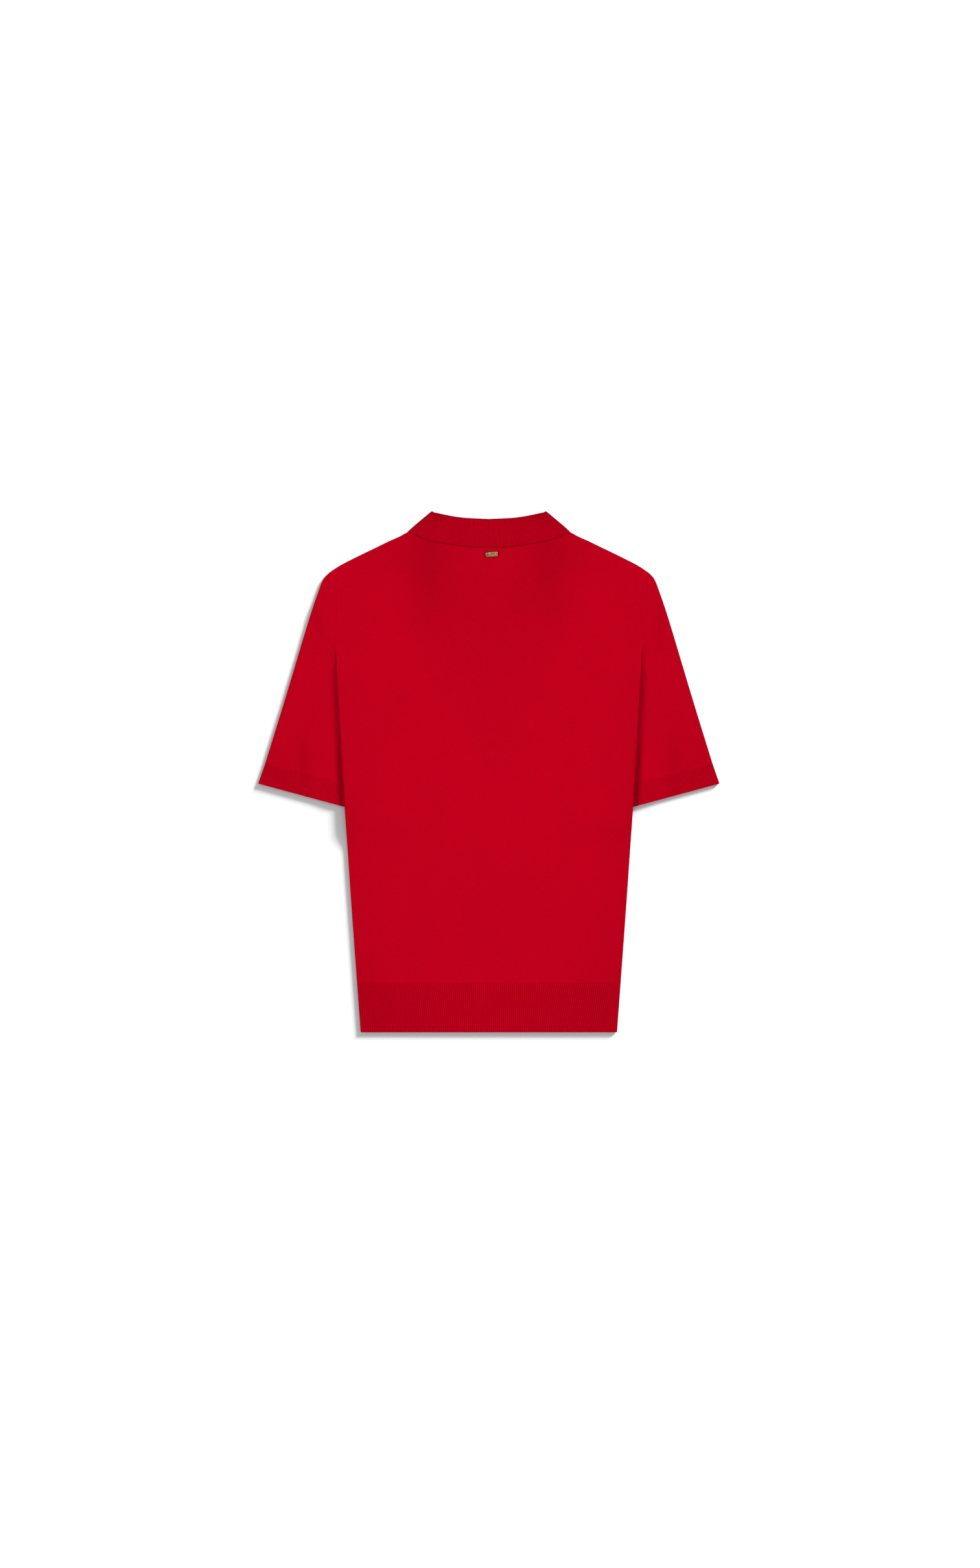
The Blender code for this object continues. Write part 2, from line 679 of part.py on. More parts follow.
def collar_half(is_back):
    """Sections of the right half of the collar, on the back from the centre to the side of
    the neck, and on the front from there to the centre."""
    neck = neckline(is_back)
    gap = SEAM_GAP / 2
    neck = [p + n * gap for p, n in zip(neck, normals_of(neck, Vector((0, 1))))]
    top, edge = COLLAR_TOP, COLLAR_EDGE_BACK
    if not is_back:
        neck[0] = Vector((COLLAR_END_X, neck[0].y + gap))
        top, edge = COLLAR_TOP_FRONT[::-1], COLLAR_EDGE_FRONT[::-1]
    sections = []
    top, edge = sampled(top, len(neck)), sampled(edge, len(neck))
    top_run = (top[-2] - top[-1]).normalized()
    for k, (n, t, e) in enumerate(zip(neck, top, edge)):
        near_side = smooth((k / (len(neck) - 1) - NEAR_SIDE_START) / (1 - NEAR_SIDE_START))
        n = n + (top[-1] - n).normalized() * NECK_CORNER_GAP * near_side
        inward = -collar_side_normal() * near_side
        t = t + top_run * TOP_INSET / -top_run.dot(collar_side_normal()) * near_side
        n, e = n + inward * STAND_INSET, e + inward * FALL_INSET
        stand_z = back_height(n.x, n.y) if is_back else front_height(n.x, n.y)

        def fall_z(p, stand_z=stand_z):
            if is_back:
                return max(back_height(p.x, p.y), stand_z) + COLLAR_LAYERS
            return FRONT_HEIGHT

        sections.append(collar_section(n, t, e, stand_z, fall_z))
    return sections if is_back else sections[::-1]


def collar_side_normal():
    """Outward across the straight edge between the collar's top and lower corners."""
    side = [Vector(COLLAR_TOP[-1]), Vector(COLLAR_EDGE_BACK[-1])]
    return normals_of(side, Vector((1, 0)))[0]


def collar_sections():
    """Sections of the right half of the collar, from the centre back round to the front."""
    back, front = collar_half(True), collar_half(False)
    outward = collar_side_normal().to_3d()
    turn = []
    for k in range(1, COLLAR_ARC_STEPS + 1):
        angle = math.pi * k / (COLLAR_ARC_STEPS + 1)
        share = (1 - math.cos(angle)) / 2
        section = []
        for b, f in zip(back[-1], front[0]):
            reach = abs(b.z - f.z) / 2 * math.sin(angle)
            section.append(b.lerp(f, share) + outward * reach)
        turn.append(section)
    return back + turn + front


def make_collar(material):
    half = collar_sections()
    whole = [[Vector((-p.x, p.y, p.z)) for p in s] for s in reversed(half[1:])] + half
    cloth("collar", whole, material)


def make_placket(material):
    """Two bands, one over the other, each a wall as long as the slit."""
    for name, z, bottom in (
        ("placket_upper", UPPER_BAND_HEIGHT, BAND_BOTTOM + SEAM_GAP),
        ("placket_under", UNDER_BAND_HEIGHT, BAND_BOTTOM - 4),
    ):
        rows = [
            [Vector((x, y, z)) for x in (-BAND_HALF_WIDTH, 0, BAND_HALF_WIDTH)]
            for y in (bottom, (bottom + BAND_TOP) / 2, BAND_TOP)
        ]
        cloth(name, rows, material)


def make_buttons(material):
    """Turned buttons with a dished face and a raised rim, which lies on the surface."""
    rim = 0.5
    profile = [
        (0, rim), (3.4, rim), (4.1, 0), (5.3, 0), (BUTTON_RADIUS, rim),
        (BUTTON_RADIUS, BUTTON_THICKNESS), (0, BUTTON_THICKNESS),
    ]
    for number, y in enumerate(BUTTON_YS, 1):
        mesh = bpy.data.meshes.new("button_profile")
        points = [(r * MM, 0, z * MM) for r, z in reversed(profile)]
        mesh.from_pydata(points, [(i, i + 1) for i in range(len(points) - 1)], [])
        button = add_object(f"button_{number}", mesh, material)
        button.location = (0, y * MM, 0)
        turn = button.modifiers.new("turn", "SCREW")
        turn.steps = turn.render_steps = 16
        turn.use_merge_vertices = True
        turn.merge_threshold = WELD_REACH * MM


def circle_points(centre, radius, count, start=0.0, sweep=2 * math.pi):
    last = count if sweep >= 2 * math.pi else count - 1
    return [
        (
            centre[0] + radius * math.cos(start + sweep * k / last),
            centre[1] + radius * math.sin(start + sweep * k / last),
        )
        for k in range(count)
    ]


def make_plate(material):
    """A plain plate with round corners and a sewing hole near each end, just above the back."""
    half, side_half = PLATE_LENGTH / 2 - PLATE_CORNER, PLATE_WIDTH / 2 - PLATE_CORNER
    quarter = math.pi / 2
    outline = []
    for k, (across, along) in enumerate(((1, -1), (1, 1), (-1, 1), (-1, -1))):
        centre = (across * half, along * side_half)
        outline += circle_points(centre, PLATE_CORNER, 5, (k - 1) * quarter, quarter)
    loops = [outline] + [
        circle_points((side * PLATE_HOLE_X, 0), PLATE_HOLE_RADIUS, 10) for side in (-1, 1)
    ]
    curve = bpy.data.curves.new("back_plate", "CURVE")
    curve.dimensions = "2D"
    curve.fill_mode = "BOTH"
    curve.extrude = PLATE_THICKNESS / 2 * MM
    for loop in loops:
        spline = curve.splines.new("POLY")
        spline.points.add(len(loop) - 1)
        spline.use_cyclic_u = True
        for point, (x, y) in zip(spline.points, loop):
            point.co = (x * MM, y * MM, 0, 1)
    curve.materials.append(material)
    plate = bpy.data.objects.new("back_plate", curve)
    GARMENT.objects.link(plate)
    x, y = PLATE_CENTRE
    reach = PLATE_LENGTH / 2
    top = max(back_height(x + dx, y + dy) for dx in (-reach, 0, reach) for dy in (-4, 0, 4))
    z = top + HALF_WALL + SEAM_GAP + PLATE_THICKNESS / 2
    plate.location = (x * MM, y * MM, z * MM)
    plate.rotation_euler = (0, 0, PLATE_TURN)
    weld = plate.modifiers.new("weld", "WELD")
    weld.merge_threshold = WELD_REACH * MM


for old in list(bpy.data.objects):
    bpy.data.objects.remove(old)
GARMENT = bpy.data.collections.new("polo_shirt")
bpy.context.scene.collection.children.link(GARMENT)

knit = make_material("knit", (0.53, 0.0008, 0.013), 0.9)
rib_knit = make_material("rib", (0.45, 0.0009, 0.012), 0.9)
button_red = make_material("button", (0.36, 0.004, 0.012), 0.35)
gold = make_material("gold", (0.66, 0.44, 0.22), 0.3, 1.0)

make_back(knit)
make_front(knit)
make_hem(rib_knit)
make_sleeves(knit)
make_cuffs(rib_knit)
make_collar(rib_knit)
make_placket(rib_knit)
make_buttons(button_red)
make_plate(gold)
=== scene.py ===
"""The looks of a short-sleeved knitted polo shirt laid flat, face down, with its back up.

The forms are those of the part's solids, at a finer pitch: the same outline, folds and heights
of cloth, with ribs, soft folds, seams, stitches and knit added. X runs across the garment, +Y
towards the collar and +Z up. Sizes are in millimetres, and become metres where a mesh is made."""

import json
import math
from collections import namedtuple
from functools import lru_cache

import bmesh
import bpy
from mathutils import Matrix, Vector, noise

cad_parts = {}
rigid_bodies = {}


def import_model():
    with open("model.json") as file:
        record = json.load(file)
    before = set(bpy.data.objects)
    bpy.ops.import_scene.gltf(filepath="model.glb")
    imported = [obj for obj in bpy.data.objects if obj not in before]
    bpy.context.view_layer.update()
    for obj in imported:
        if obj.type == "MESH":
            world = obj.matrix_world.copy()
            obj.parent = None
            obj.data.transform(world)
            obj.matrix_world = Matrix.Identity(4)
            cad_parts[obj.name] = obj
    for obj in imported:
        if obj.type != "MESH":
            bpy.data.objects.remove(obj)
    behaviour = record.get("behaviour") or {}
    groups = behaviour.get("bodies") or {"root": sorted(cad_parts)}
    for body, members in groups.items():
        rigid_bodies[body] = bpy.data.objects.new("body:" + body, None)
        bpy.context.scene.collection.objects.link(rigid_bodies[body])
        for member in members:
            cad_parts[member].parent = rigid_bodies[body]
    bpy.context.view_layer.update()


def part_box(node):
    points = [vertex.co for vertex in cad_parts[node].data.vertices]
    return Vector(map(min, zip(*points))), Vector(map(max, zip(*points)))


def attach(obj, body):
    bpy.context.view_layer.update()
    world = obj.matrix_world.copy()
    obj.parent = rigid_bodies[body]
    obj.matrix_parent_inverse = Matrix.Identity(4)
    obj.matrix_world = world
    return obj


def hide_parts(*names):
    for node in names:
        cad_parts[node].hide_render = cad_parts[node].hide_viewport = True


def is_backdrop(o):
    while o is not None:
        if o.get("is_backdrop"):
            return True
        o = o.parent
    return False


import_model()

MM = 0.001

# Cloth
WALL = 1.2
HALF_WALL = WALL / 2
SEAM_GAP = 0.08
JOIN_GAP = 0.02
TURNED_GAP = 0.12
SEAM_THINNING = 0.92
FOLD_RADIUS = 1.0
THICKEST_TURN = 1.15
RIB_RELIEF = 0.5
UNDERSIDE_RIB_DEPTH = 0.4
COLLAR_RIB_DEPTH = 0.28
RIB_SQUARENESS = 2.6
RIB_END_FADE = 1.2
EDGE_WALL_SHARE = 0.3
FOLD_INSET = FOLD_RADIUS + HALF_WALL
SHARP_DEGREES = 50

# Body
LENGTH = 642.0
HEM_Y = -LENGTH / 2
HEM_RIB_HEIGHT = 61.4
HEM_RIB_TOP = HEM_Y + HEM_RIB_HEIGHT
HEM_HALF_WIDTH = 158.2
CHEST_HALF_WIDTH = 190.2
SIDE_BOW = 1.2
HEM_RIBS = 129
HEM_RIB_PITCH = 2 * HEM_HALF_WIDTH / HEM_RIBS
# How far out a rib leans from its foot to its top, in mm, by its place: 0 centre, 1 side
HEM_RIB_LEANS = ((0, 0), (0.06, 1.3), (0.25, 1.5), (0.45, 4.4), (0.65, 4.4), (0.92, 3.1), (1, 0))

# The side edge of the body lies over the sleeve from CREASE_Y down, and the hidden underarm
# point, where the side seam starts, is at UNDERARM_Y.
CREASE_Y = 159.2
UNDERARM_Y = 57.6
CREASE_LENGTH = 45.0
SEAM_TUCK = 12.0
TUCK_START_Y = CREASE_Y - 0.8 * CREASE_LENGTH
SEAM_HIDDEN_Y = CREASE_Y - 0.75 * CREASE_LENGTH
SEAM_HIDING_LENGTH = 12.0
SEAM_ON_EDGE_Y = -90.0
FLAT_EDGE = 1.7
NEARLY_FLAT = 0.01
LEAST_TUCK = 0.5

# Sleeves and cuffs: the outer end of each line across the sleeve, and how it slopes
SLEEVE_END = (276.0, 11.2)
CUFF_END = (284.6, -13.9)
SLEEVE_END_INNER_X = 158.5
CUFF_INNER_X = 155.4
CUFF_SLOPE = 0.266
SLEEVE_END_SLOPE = 0.236
CUFF_RIBS = 58
CUFF_PUFF_LOSS = 0.6
# How far in a rib leans from the cuff's edge to its seam, as a share of its width, by the rib's
# place: 0 at the outer fold, 1 at the inner one
CUFF_RIB_LEANS = (
    (0, 0), (0.15, -0.03), (0.37, 0.006), (0.44, 0.036), (0.57, 0.07), (0.76, 0.078), (1, 0),
)

# Placket, buttons and plate
BAND_HALF_WIDTH = 13.0
SLIT_HALF_WIDTH = BAND_HALF_WIDTH + 0.3
BAND_BOTTOM = 100.0
BAND_TOP = 236.0
UPPER_BAND_BOTTOM = BAND_BOTTOM + 0.3
UNDER_BAND_BOTTOM = BAND_BOTTOM - 4
UPPER_BAND_HEIGHT = 2.9
UNDER_BAND_HEIGHT = 4.4
BUTTON_RADIUS = 5.75
BUTTON_THICKNESS = 2.0
BUTTON_YS = (222.0, 172.0, 122.0)
# The section of a button from its centre out and back, as (radius, depth from its face)
BUTTON_PROFILE = (
    (0, 0.65), (2.9, 0.6), (3.5, 0.42), (4.1, 0.08), (4.5, 0), (5.1, 0), (5.5, 0.12),
    (BUTTON_RADIUS, 0.5), (BUTTON_RADIUS, 1.5), (5.5, 1.85), (5.0, BUTTON_THICKNESS),
    (0, BUTTON_THICKNESS),
)
BUTTON_HOLE_X = 1.25
BUTTON_HOLE_RADIUS = 0.65
BUTTON_STEPS = 48
THREAD_END_SHARE = 0.6
BUTTON_THREAD_RADIUS = 0.2
STITCH_RADIUS = 0.16
STITCH_INSET = 2.0
STITCH_SINK = 0.05
BUTTONHOLE_START = 4.6
BUTTONHOLE_HALF_WIDTH = 1.1
BUTTONHOLE_THREADS = 12
BUTTONHOLE_THREAD_PITCH = 0.25
PLATE_CENTRE = (3.4, 269.0)
PLATE_LENGTH = 14.4
PLATE_WIDTH = 5.8
PLATE_CORNER = 1.7
PLATE_THICKNESS = 1.0
PLATE_TURN = math.radians(4)
PLATE_HOLE_RADIUS = 0.7
PLATE_HOLE_X = 6.0
PLATE_CORNER_STEPS = 12
PLATE_THREAD_RADIUS = 0.45
PLATE_BEVEL = 0.3
# The painted shadow round the plate on the knit: how dark, how far past the plate's edge it reaches,
# and how far it is moved to the left
PLATE_SHADOW = 0.7
PLATE_SHADOW_REACH = 1.2
PLATE_SHADOW_SHIFT = 0.4

# Neck and collar
BACK_NECK = [(0, 287), (30, 288.5), (58, 294), (82, 302)]
FRONT_NECK = [(SLIT_HALF_WIDTH, 237), (40, 247), (62, 266), (76, 286), (82, 302)]
SHOULDER = [
    (82, 302), (98.6, 297.2), (104, 294.7), (113.4, 289.7), (147.8, 273.6), (181, 257), (196.6, 247.2),
]
ARMHOLE = [(190.2, 159.2), (188.2, 190), (188.0, 218), (191.2, 234), (196.6, 247.2)]
SLEEVE_OUTER = [
    (196.6, 247.2), (204.4, 238.4), (211, 221.6), (223, 185.6), (251.8, 89.6), SLEEVE_END,
]
COLLAR_TOP = [(0, 312.7), (36, 314.9), (70.9, 321.5)]
COLLAR_EDGE_BACK = [
    (0, 277.4), (20, 277.7), (40, 280.0), (60, 283.2), (72, 286.2), (84, 290.8), (94, 295.1),
    (100.6, 297.5),
]
COLLAR_EDGE_FRONT = [(100.6, 297), (84, 248), (62, 198)]
COLLAR_TOP_FRONT = [(70.9, 321.5), (40, 283), (3, 256)]
COLLAR_LAYERS = 1.8
COLLAR_END_X = 3.0
NECK_CORNER_GAP = 2.4
NECK_CORNER_EASE = 0.8
STAND_INSET = 1.6
TOP_INSET = 2.4
FALL_INSET = 3.2
NEAR_SIDE_START = 0.6
FALL_DROP = 0.7
FALL_DROP_START = 0.7
FALL_EDGE_SHARE = 0.6
FALL_TAPER_START = 0.8
LEAF_END_EASE = 0.2
COLLAR_RIBS = 59
COLLAR_RIB_PITCH = 1.7
COLLAR_COLUMN_PITCH = 2.3

# Knit: the pitch of its stitches across and along, and its dye. Shade is painted darker into the
# grooves between ribs by a share, and painted onto a turn, where no ribs show, by this much of that
# share.
WALE = 1.0
COURSE = 0.75
COLLAR_COURSE = 0.7
KNIT_DARK, KNIT_LIGHT = (0.435, 0.0001, 0.0096), (0.545, 0.0001, 0.0124)
BLACK = (0.0, 0.0, 0.0)
WELT_SHADE = 0.3
WELT_TURN_SHADE = 0.25
COLLAR_SHADE = 0.3
COLLAR_TURN_SHADE = 1.3

# Heights of cloth, and how far what lies under it lifts it. The sleeve's lift starts from
# nothing at the crease's start on the back, and just above the underarm on the front.
FRONT_HEIGHT = HALF_WALL
BACK_HEIGHT = FRONT_HEIGHT + 2 * FOLD_RADIUS
SLEEVE_LIFT = 4.1
LEAF_LIFT_FRONT = 1.55
LEAF_LIFT_BACK = 1.5
BAND_LIFT_FRONT = UPPER_BAND_HEIGHT - FRONT_HEIGHT
BAND_LIFT_BACK = 3.3
LEAF_OUTLINE = [(3, 256), (70.5, 321), (101, 298), (62, 196)]
FRONT_TURN_MARGIN = 42.0
FRONT_TURN_LENGTH = 40.0
BACK_TURN_LENGTH = 0.9 * CREASE_LENGTH
EDGE_LIFT_END_Y = -95.0
EDGE_LIFT_FADE = 36.0
BAND_LIFT_TOP = 14.0
BAND_LIFT_TOP_FADE = 36.0

# How a lift fades round what lies below: it is whole as far as the margin, then falls over the ramp
Fade = namedtuple("Fade", "margin ramp")
Fades = namedtuple("Fades", "sleeve leaf band_side band_end")
FRONT_FADES = Fades(sleeve=Fade(6, 20), leaf=Fade(8, 20), band_side=Fade(2, 14), band_end=Fade(4, 26))
BACK_FADES = Fades(sleeve=Fade(6, 89), leaf=Fade(4, 45), band_side=Fade(2, 50), band_end=Fade(4, 56))

# Columns, rows and steps of the cloth grids
SLIT_COLUMNS = 5
NECK_COLUMNS = 27
SHOULDER_COLUMNS = 46
PANEL_COLUMNS = SLIT_COLUMNS + NECK_COLUMNS + SHOULDER_COLUMNS
YOKE_ROWS = 51
BODY_ROW_PITCH = 2.5
HEM_ROW_PITCH = 2.6
CUFF_ROW_PITCH = 4.0
BAND_COLUMN_PITCH = 1.8
BAND_ROW_PITCH = 2.4
SLEEVE_ROWS = 84
ARC_STEPS = 6
TUCK_STEPS = 4
RIB_STEPS = 6
COLLAR_ARC_STEPS = 8
STAND_STEPS = 6
FALL_STEPS = 15
EDGE_ROWS = (0.0, 0.12, 0.35, 0.7, 1.4, 2.6)
FALL_EDGE_ROWS = EDGE_ROWS[:4]


def smooth(t):
    """0 below 0, 1 above 1, and an S curve between."""
    t = min(max(t, 0.0), 1.0)
    return t * t * (3 - 2 * t)


def blended(values):
    """A soft maximum of heights, so that humps run into each other without a ridge."""
    return sum(v**4 for v in values) ** 0.25


def catmull(p0, p1, p2, p3, t):
    return 0.5 * (
        2 * p1
        + (p2 - p0) * t
        + (2 * p0 - 5 * p1 + 4 * p2 - p3) * t**2
        + (3 * p1 - p0 - 3 * p2 + p3) * t**3
    )


def dense_curve(points, steps=12):
    """A smooth curve through the points, as many short runs."""
    pts = [Vector(p) for p in points]
    pts = [2 * pts[0] - pts[1]] + pts + [2 * pts[-1] - pts[-2]]
    curve = [
        catmull(*pts[i : i + 4], k / steps) for i in range(len(pts) - 3) for k in range(steps)
    ]
    return curve + [pts[-2]]


def placed(points, shares):
    """Points on the smooth curve through the given ones, at rising shares of its length."""
    curve = dense_curve(points)
    lengths = [0.0]
    for a, b in zip(curve, curve[1:]):
        lengths.append(lengths[-1] + (b - a).length)
    result = []
    run = 0
    for share in shares:
        target = lengths[-1] * share
        while run < len(curve) - 2 and lengths[run + 1] < target:
            run += 1
        t = (target - lengths[run]) / (lengths[run + 1] - lengths[run])
        result.append(curve[run].lerp(curve[run + 1], t))
    return result


def sampled(points, count):
    """count evenly spaced points on the smooth curve through the given ones."""
    return placed(points, [k / (count - 1) for k in range(count)])


def at(p, z):
    """The flat point p at the height z."""
    return Vector((p.x, p.y, z))


ARMHOLE_CURVE = dense_curve(ARMHOLE)


def x_on(curve, y):
    """Where a dense curve that climbs in y crosses the height y."""
    for a, b in zip(curve, curve[1:]):
        if a.y <= y <= b.y:
            return a.lerp(b, (y - a.y) / (b.y - a.y)).x
    return curve[-1].x if y > curve[-1].y else curve[0].x


def normals_of(points, outward):
    """Unit normals of a flat curve, on the side of the given direction."""
    result = []
    for i in range(len(points)):
        along = points[min(i + 1, len(points) - 1)] - points[max(i - 1, 0)]
        normal = Vector((-along.y, along.x)).normalized()
        result.append(normal if normal.dot(outward) > 0 else -normal)
    return result


# The side of the body


def side_edge(y):
    """Half the width of the body as it lies."""
    t = (y - HEM_Y) / (CREASE_Y - HEM_Y)
    straight = HEM_HALF_WIDTH + (CHEST_HALF_WIDTH - HEM_HALF_WIDTH) * t
    return straight + SIDE_BOW * math.sin(math.pi * min(max(t, 0), 1))


def fold_share(y):
    """How far the back has turned over its side edge: 0 at the crease's start, 1 when folded."""
    return smooth((CREASE_Y - y) / CREASE_LENGTH)


def seam_tuck(y):
    """How far inside the fold the hidden seam runs."""
    if y > UNDERARM_Y:
        return SEAM_TUCK * smooth((TUCK_START_Y - y) / (TUCK_START_Y - UNDERARM_Y))
    return SEAM_TUCK * smooth((y - SEAM_ON_EDGE_Y) / (UNDERARM_Y - SEAM_ON_EDGE_Y))


def fold_start(y):
    """Where the back's flat part ends and its turn over the edge starts."""
    share = fold_share(y)
    turn = math.pi * share
    arc = FLAT_EDGE + (math.pi * FOLD_RADIUS - FLAT_EDGE) * share
    if share < NEARLY_FLAT:
        return side_edge(y) - SEAM_GAP / 2 - arc
    radius = arc / turn
    reach = radius + HALF_WALL if turn > math.pi / 2 else (radius + HALF_WALL) * math.sin(turn)
    return side_edge(y) - reach - SEAM_GAP / 2 * (1 - share)


def seam_run(y):
    """The seam's place, as a run of cloth from the start of the fold."""
    arc = math.pi * FOLD_RADIUS
    if y >= UNDERARM_Y:
        return FLAT_EDGE + (arc - FLAT_EDGE) * fold_share(y) + seam_tuck(y)
    return arc / 2 + (arc / 2 + SEAM_TUCK) * seam_tuck(y) / SEAM_TUCK


def round_edge(y, run):
    """A point on the side's fold, the given run of cloth from its start: x and drop."""
    share = fold_share(y)
    arc = FLAT_EDGE + (math.pi * FOLD_RADIUS - FLAT_EDGE) * share
    turn = math.pi * share
    start = fold_start(y)
    if share < NEARLY_FLAT:
        return start + run, 0.0
    radius = arc / turn
    on_arc = min(run, arc)
    angle = on_arc / radius
    past = run - on_arc
    x = start + radius * math.sin(angle) + past * math.cos(turn)
    drop = radius * (1 - math.cos(angle)) + past * math.sin(turn)
    return x, drop


@lru_cache(maxsize=None)
def seam_x(y):
    """The seam between the body and the sleeve, above the underarm."""
    if y >= CREASE_Y:
        return x_on(ARMHOLE_CURVE, y)
    inside = fold_start(y) - seam_tuck(y)
    hidden = smooth((SEAM_HIDDEN_Y - y) / SEAM_HIDING_LENGTH)
    return side_edge(y) * (1 - hidden) + inside * hidden


def sleeve_inner_x(y):
    """The sleeve's hidden inner edge, which lies under the body below the underarm."""
    if y >= UNDERARM_Y:
        return seam_x(y)
    t = (UNDERARM_Y - y) / (UNDERARM_Y - line_y(CUFF_END, CUFF_SLOPE, CUFF_INNER_X))
    return seam_x(UNDERARM_Y) * (1 - min(t, 1)) + CUFF_INNER_X * min(t, 1)


def line_y(outer, slope, x):
    """The height of a line across the sleeve that starts at its outer end."""
    return outer[1] - (outer[0] - x) * slope


# Heights of the two panels


def leaf_distance(x, y):
    """Distance from the folded collar's front leaf, negative inside it."""
    inside = True
    nearest = 1e9
    for (ax, ay), (bx, by) in zip(LEAF_OUTLINE, LEAF_OUTLINE[1:] + LEAF_OUTLINE[:1]):
        ex, ey, px, py = bx - ax, by - ay, x - ax, y - ay
        t = min(max((px * ex + py * ey) / (ex * ex + ey * ey), 0), 1)
        nearest = min(nearest, math.hypot(px - ex * t, py - ey * t))
        inside = inside and ex * py - ey * px < 0
    return -nearest if inside else nearest


def beyond(distance, fade):
    """0 as far as the margin, and 1 past the ramp."""
    return smooth((distance - fade.margin) / fade.ramp)


def faded(distance, fade):
    """The share of a lift at a distance from what lies below."""
    return 1 - beyond(distance, fade)


def shares(x, y, fades):
    """How far the cloth is lifted by the sleeve, the collar's leaf and the placket below it."""
    sleeve = faded(sleeve_inner_x(y) - x, fades.sleeve)
    sleeve *= smooth((y - EDGE_LIFT_END_Y) / EDGE_LIFT_FADE)
    leaf = faded(leaf_distance(x, y), fades.leaf)
    band = faded(x - BAND_HALF_WIDTH, fades.band_side) * faded(BAND_BOTTOM - y, fades.band_end)
    return sleeve, leaf, band


def front_height(x, y):
    sleeve, leaf, band = shares(abs(x), y, FRONT_FADES)
    sleeve *= smooth((UNDERARM_Y + FRONT_TURN_MARGIN - y) / FRONT_TURN_LENGTH)
    lifts = (SLEEVE_LIFT * sleeve, LEAF_LIFT_FRONT * leaf, BAND_LIFT_FRONT * band)
    return FRONT_HEIGHT + blended(lifts)


def back_height(x, y):
    sleeve, leaf, band = shares(abs(x), y, BACK_FADES)
    sleeve *= smooth((CREASE_Y - y) / BACK_TURN_LENGTH)
    band *= 1 - smooth((y - BAND_TOP - BAND_LIFT_TOP) / BAND_LIFT_TOP_FADE)
    lifts = (SLEEVE_LIFT * sleeve, LEAF_LIFT_BACK * leaf, BAND_LIFT_BACK * band)
    return BACK_HEIGHT + blended(lifts)


# Soft folds that the solids leave out: ridges from one end to the other, in mm
Fold = namedtuple("Fold", "x0 y0 x1 y1 width height")
BACK_FOLDS = (
    Fold(-112, 232, -104, 120, 30, 0.7),
    Fold(-42, 252, -30, 150, 30, 0.6),
    Fold(110, 230, 106, 128, 30, 0.7),
    Fold(44, 250, 34, 140, 28, 0.6),
    Fold(-96, 60, -120, -60, 46, 0.5),
    Fold(104, 40, 116, -80, 46, 0.5),
    Fold(-20, -60, 10, -200, 60, 0.4),
)
SLEEVE_FOLDS = (
    Fold(217, 208, 220, 165, 7, 0.4),
    Fold(206, 206, 208, 160, 9, 0.35),
    Fold(224, 120, 240, 30, 22, 0.4),
)
PUFF_HEIGHT = 1.5
PUFF_START = 1.0
PUFF_RISE = 13.0
PUFF_FALL = 18.0
PUFF_Y = CREASE_Y - 10
PUFF_Y_FADE = 55.0

# Unevenness of knit that was smoothed out by hand: noise with a reach across and along
Unevenness = namedtuple("Unevenness", "height across along layer lift")
UNEVENNESS = (
    Unevenness(height=0.35, across=70, along=110, layer=3.1, lift=0.6),
    Unevenness(height=0.05, across=11, along=9, layer=7.7, lift=1),
)

# Where the drape starts, away from the edges of the back and of the sleeve
DRAPE_SIDE = Fade(4, 36)
DRAPE_COLLAR = Fade(14, 26)
DRAPE_SHOULDER = Fade(10, 26)
DRAPE_HEM = Fade(0, 40)
DRAPE_CREASE = Fade(4, 14)
DRAPE_CUFF = Fade(0, 18)
YOKE_HALF_WIDTH = 190.0
SHOULDER_FALL = 0.48
FOLD_END_SHARE = 0.4
# The collar's lower edge as an arch: the Y of its middle, and how far it rises by which X
COLLAR_ARCH = (279.0, 17.0, 99.2)
# Points of the back that have turned down by more than this aren't draped
SLIGHT_DROP = 0.05
# How far from the centre the front's row at the foot of the slit is moved to meet it
SLIT_ROW_FADE = Fade(60, 60)


def ridge(x, y, fold):
    """The height of one soft fold at a point."""
    ex, ey = fold.x1 - fold.x0, fold.y1 - fold.y0
    t = ((x - fold.x0) * ex + (y - fold.y0) * ey) / (ex * ex + ey * ey)
    inside = min(max(t, 0), 1)
    away = math.hypot(x - fold.x0 - ex * inside, y - fold.y0 - ey * inside) / fold.width
    ends = smooth(min(t, 1 - t) / FOLD_END_SHARE + 0.5)
    return fold.height * ends * math.exp(-away * away)


def wrinkled(x, y, folds):
    """Soft folds and slight unevenness."""
    height = sum(ridge(x, y, fold) for fold in folds)
    for u in UNEVENNESS:
        height += u.height * (noise.noise(Vector((x / u.across, y / u.along, u.layer))) + u.lift)
    return height


def back_drape(x, y):
    """What the scene adds to the back's height: nothing near its edges, collar and plate."""
    across = abs(x)
    side = side_edge(y) if y < CREASE_Y else YOKE_HALF_WIDTH
    middle_y, rise, end_x = COLLAR_ARCH
    collar = middle_y + rise * (across / end_x) ** 2
    shoulder = SHOULDER[0][1] - (across - SHOULDER[0][0]) * SHOULDER_FALL
    mask = beyond(side - across, DRAPE_SIDE) * beyond(collar - y, DRAPE_COLLAR)
    mask *= beyond(shoulder - y, DRAPE_SHOULDER) * beyond(y - HEM_RIB_TOP, DRAPE_HEM)
    return mask * wrinkled(x, y, BACK_FOLDS)


def crease_puff(x, y):
    """The sleeve's upper layer stands up beside the body's edge, and dips to go under it."""
    away = x - side_edge(y)
    climb = min(max((away + PUFF_START) / PUFF_RISE, 0), 1)
    rise = climb * (2 - climb) * math.exp(-((max(away - PUFF_RISE, 0) / PUFF_FALL) ** 2))
    return PUFF_HEIGHT * rise * smooth((PUFF_Y - y) / PUFF_Y_FADE)


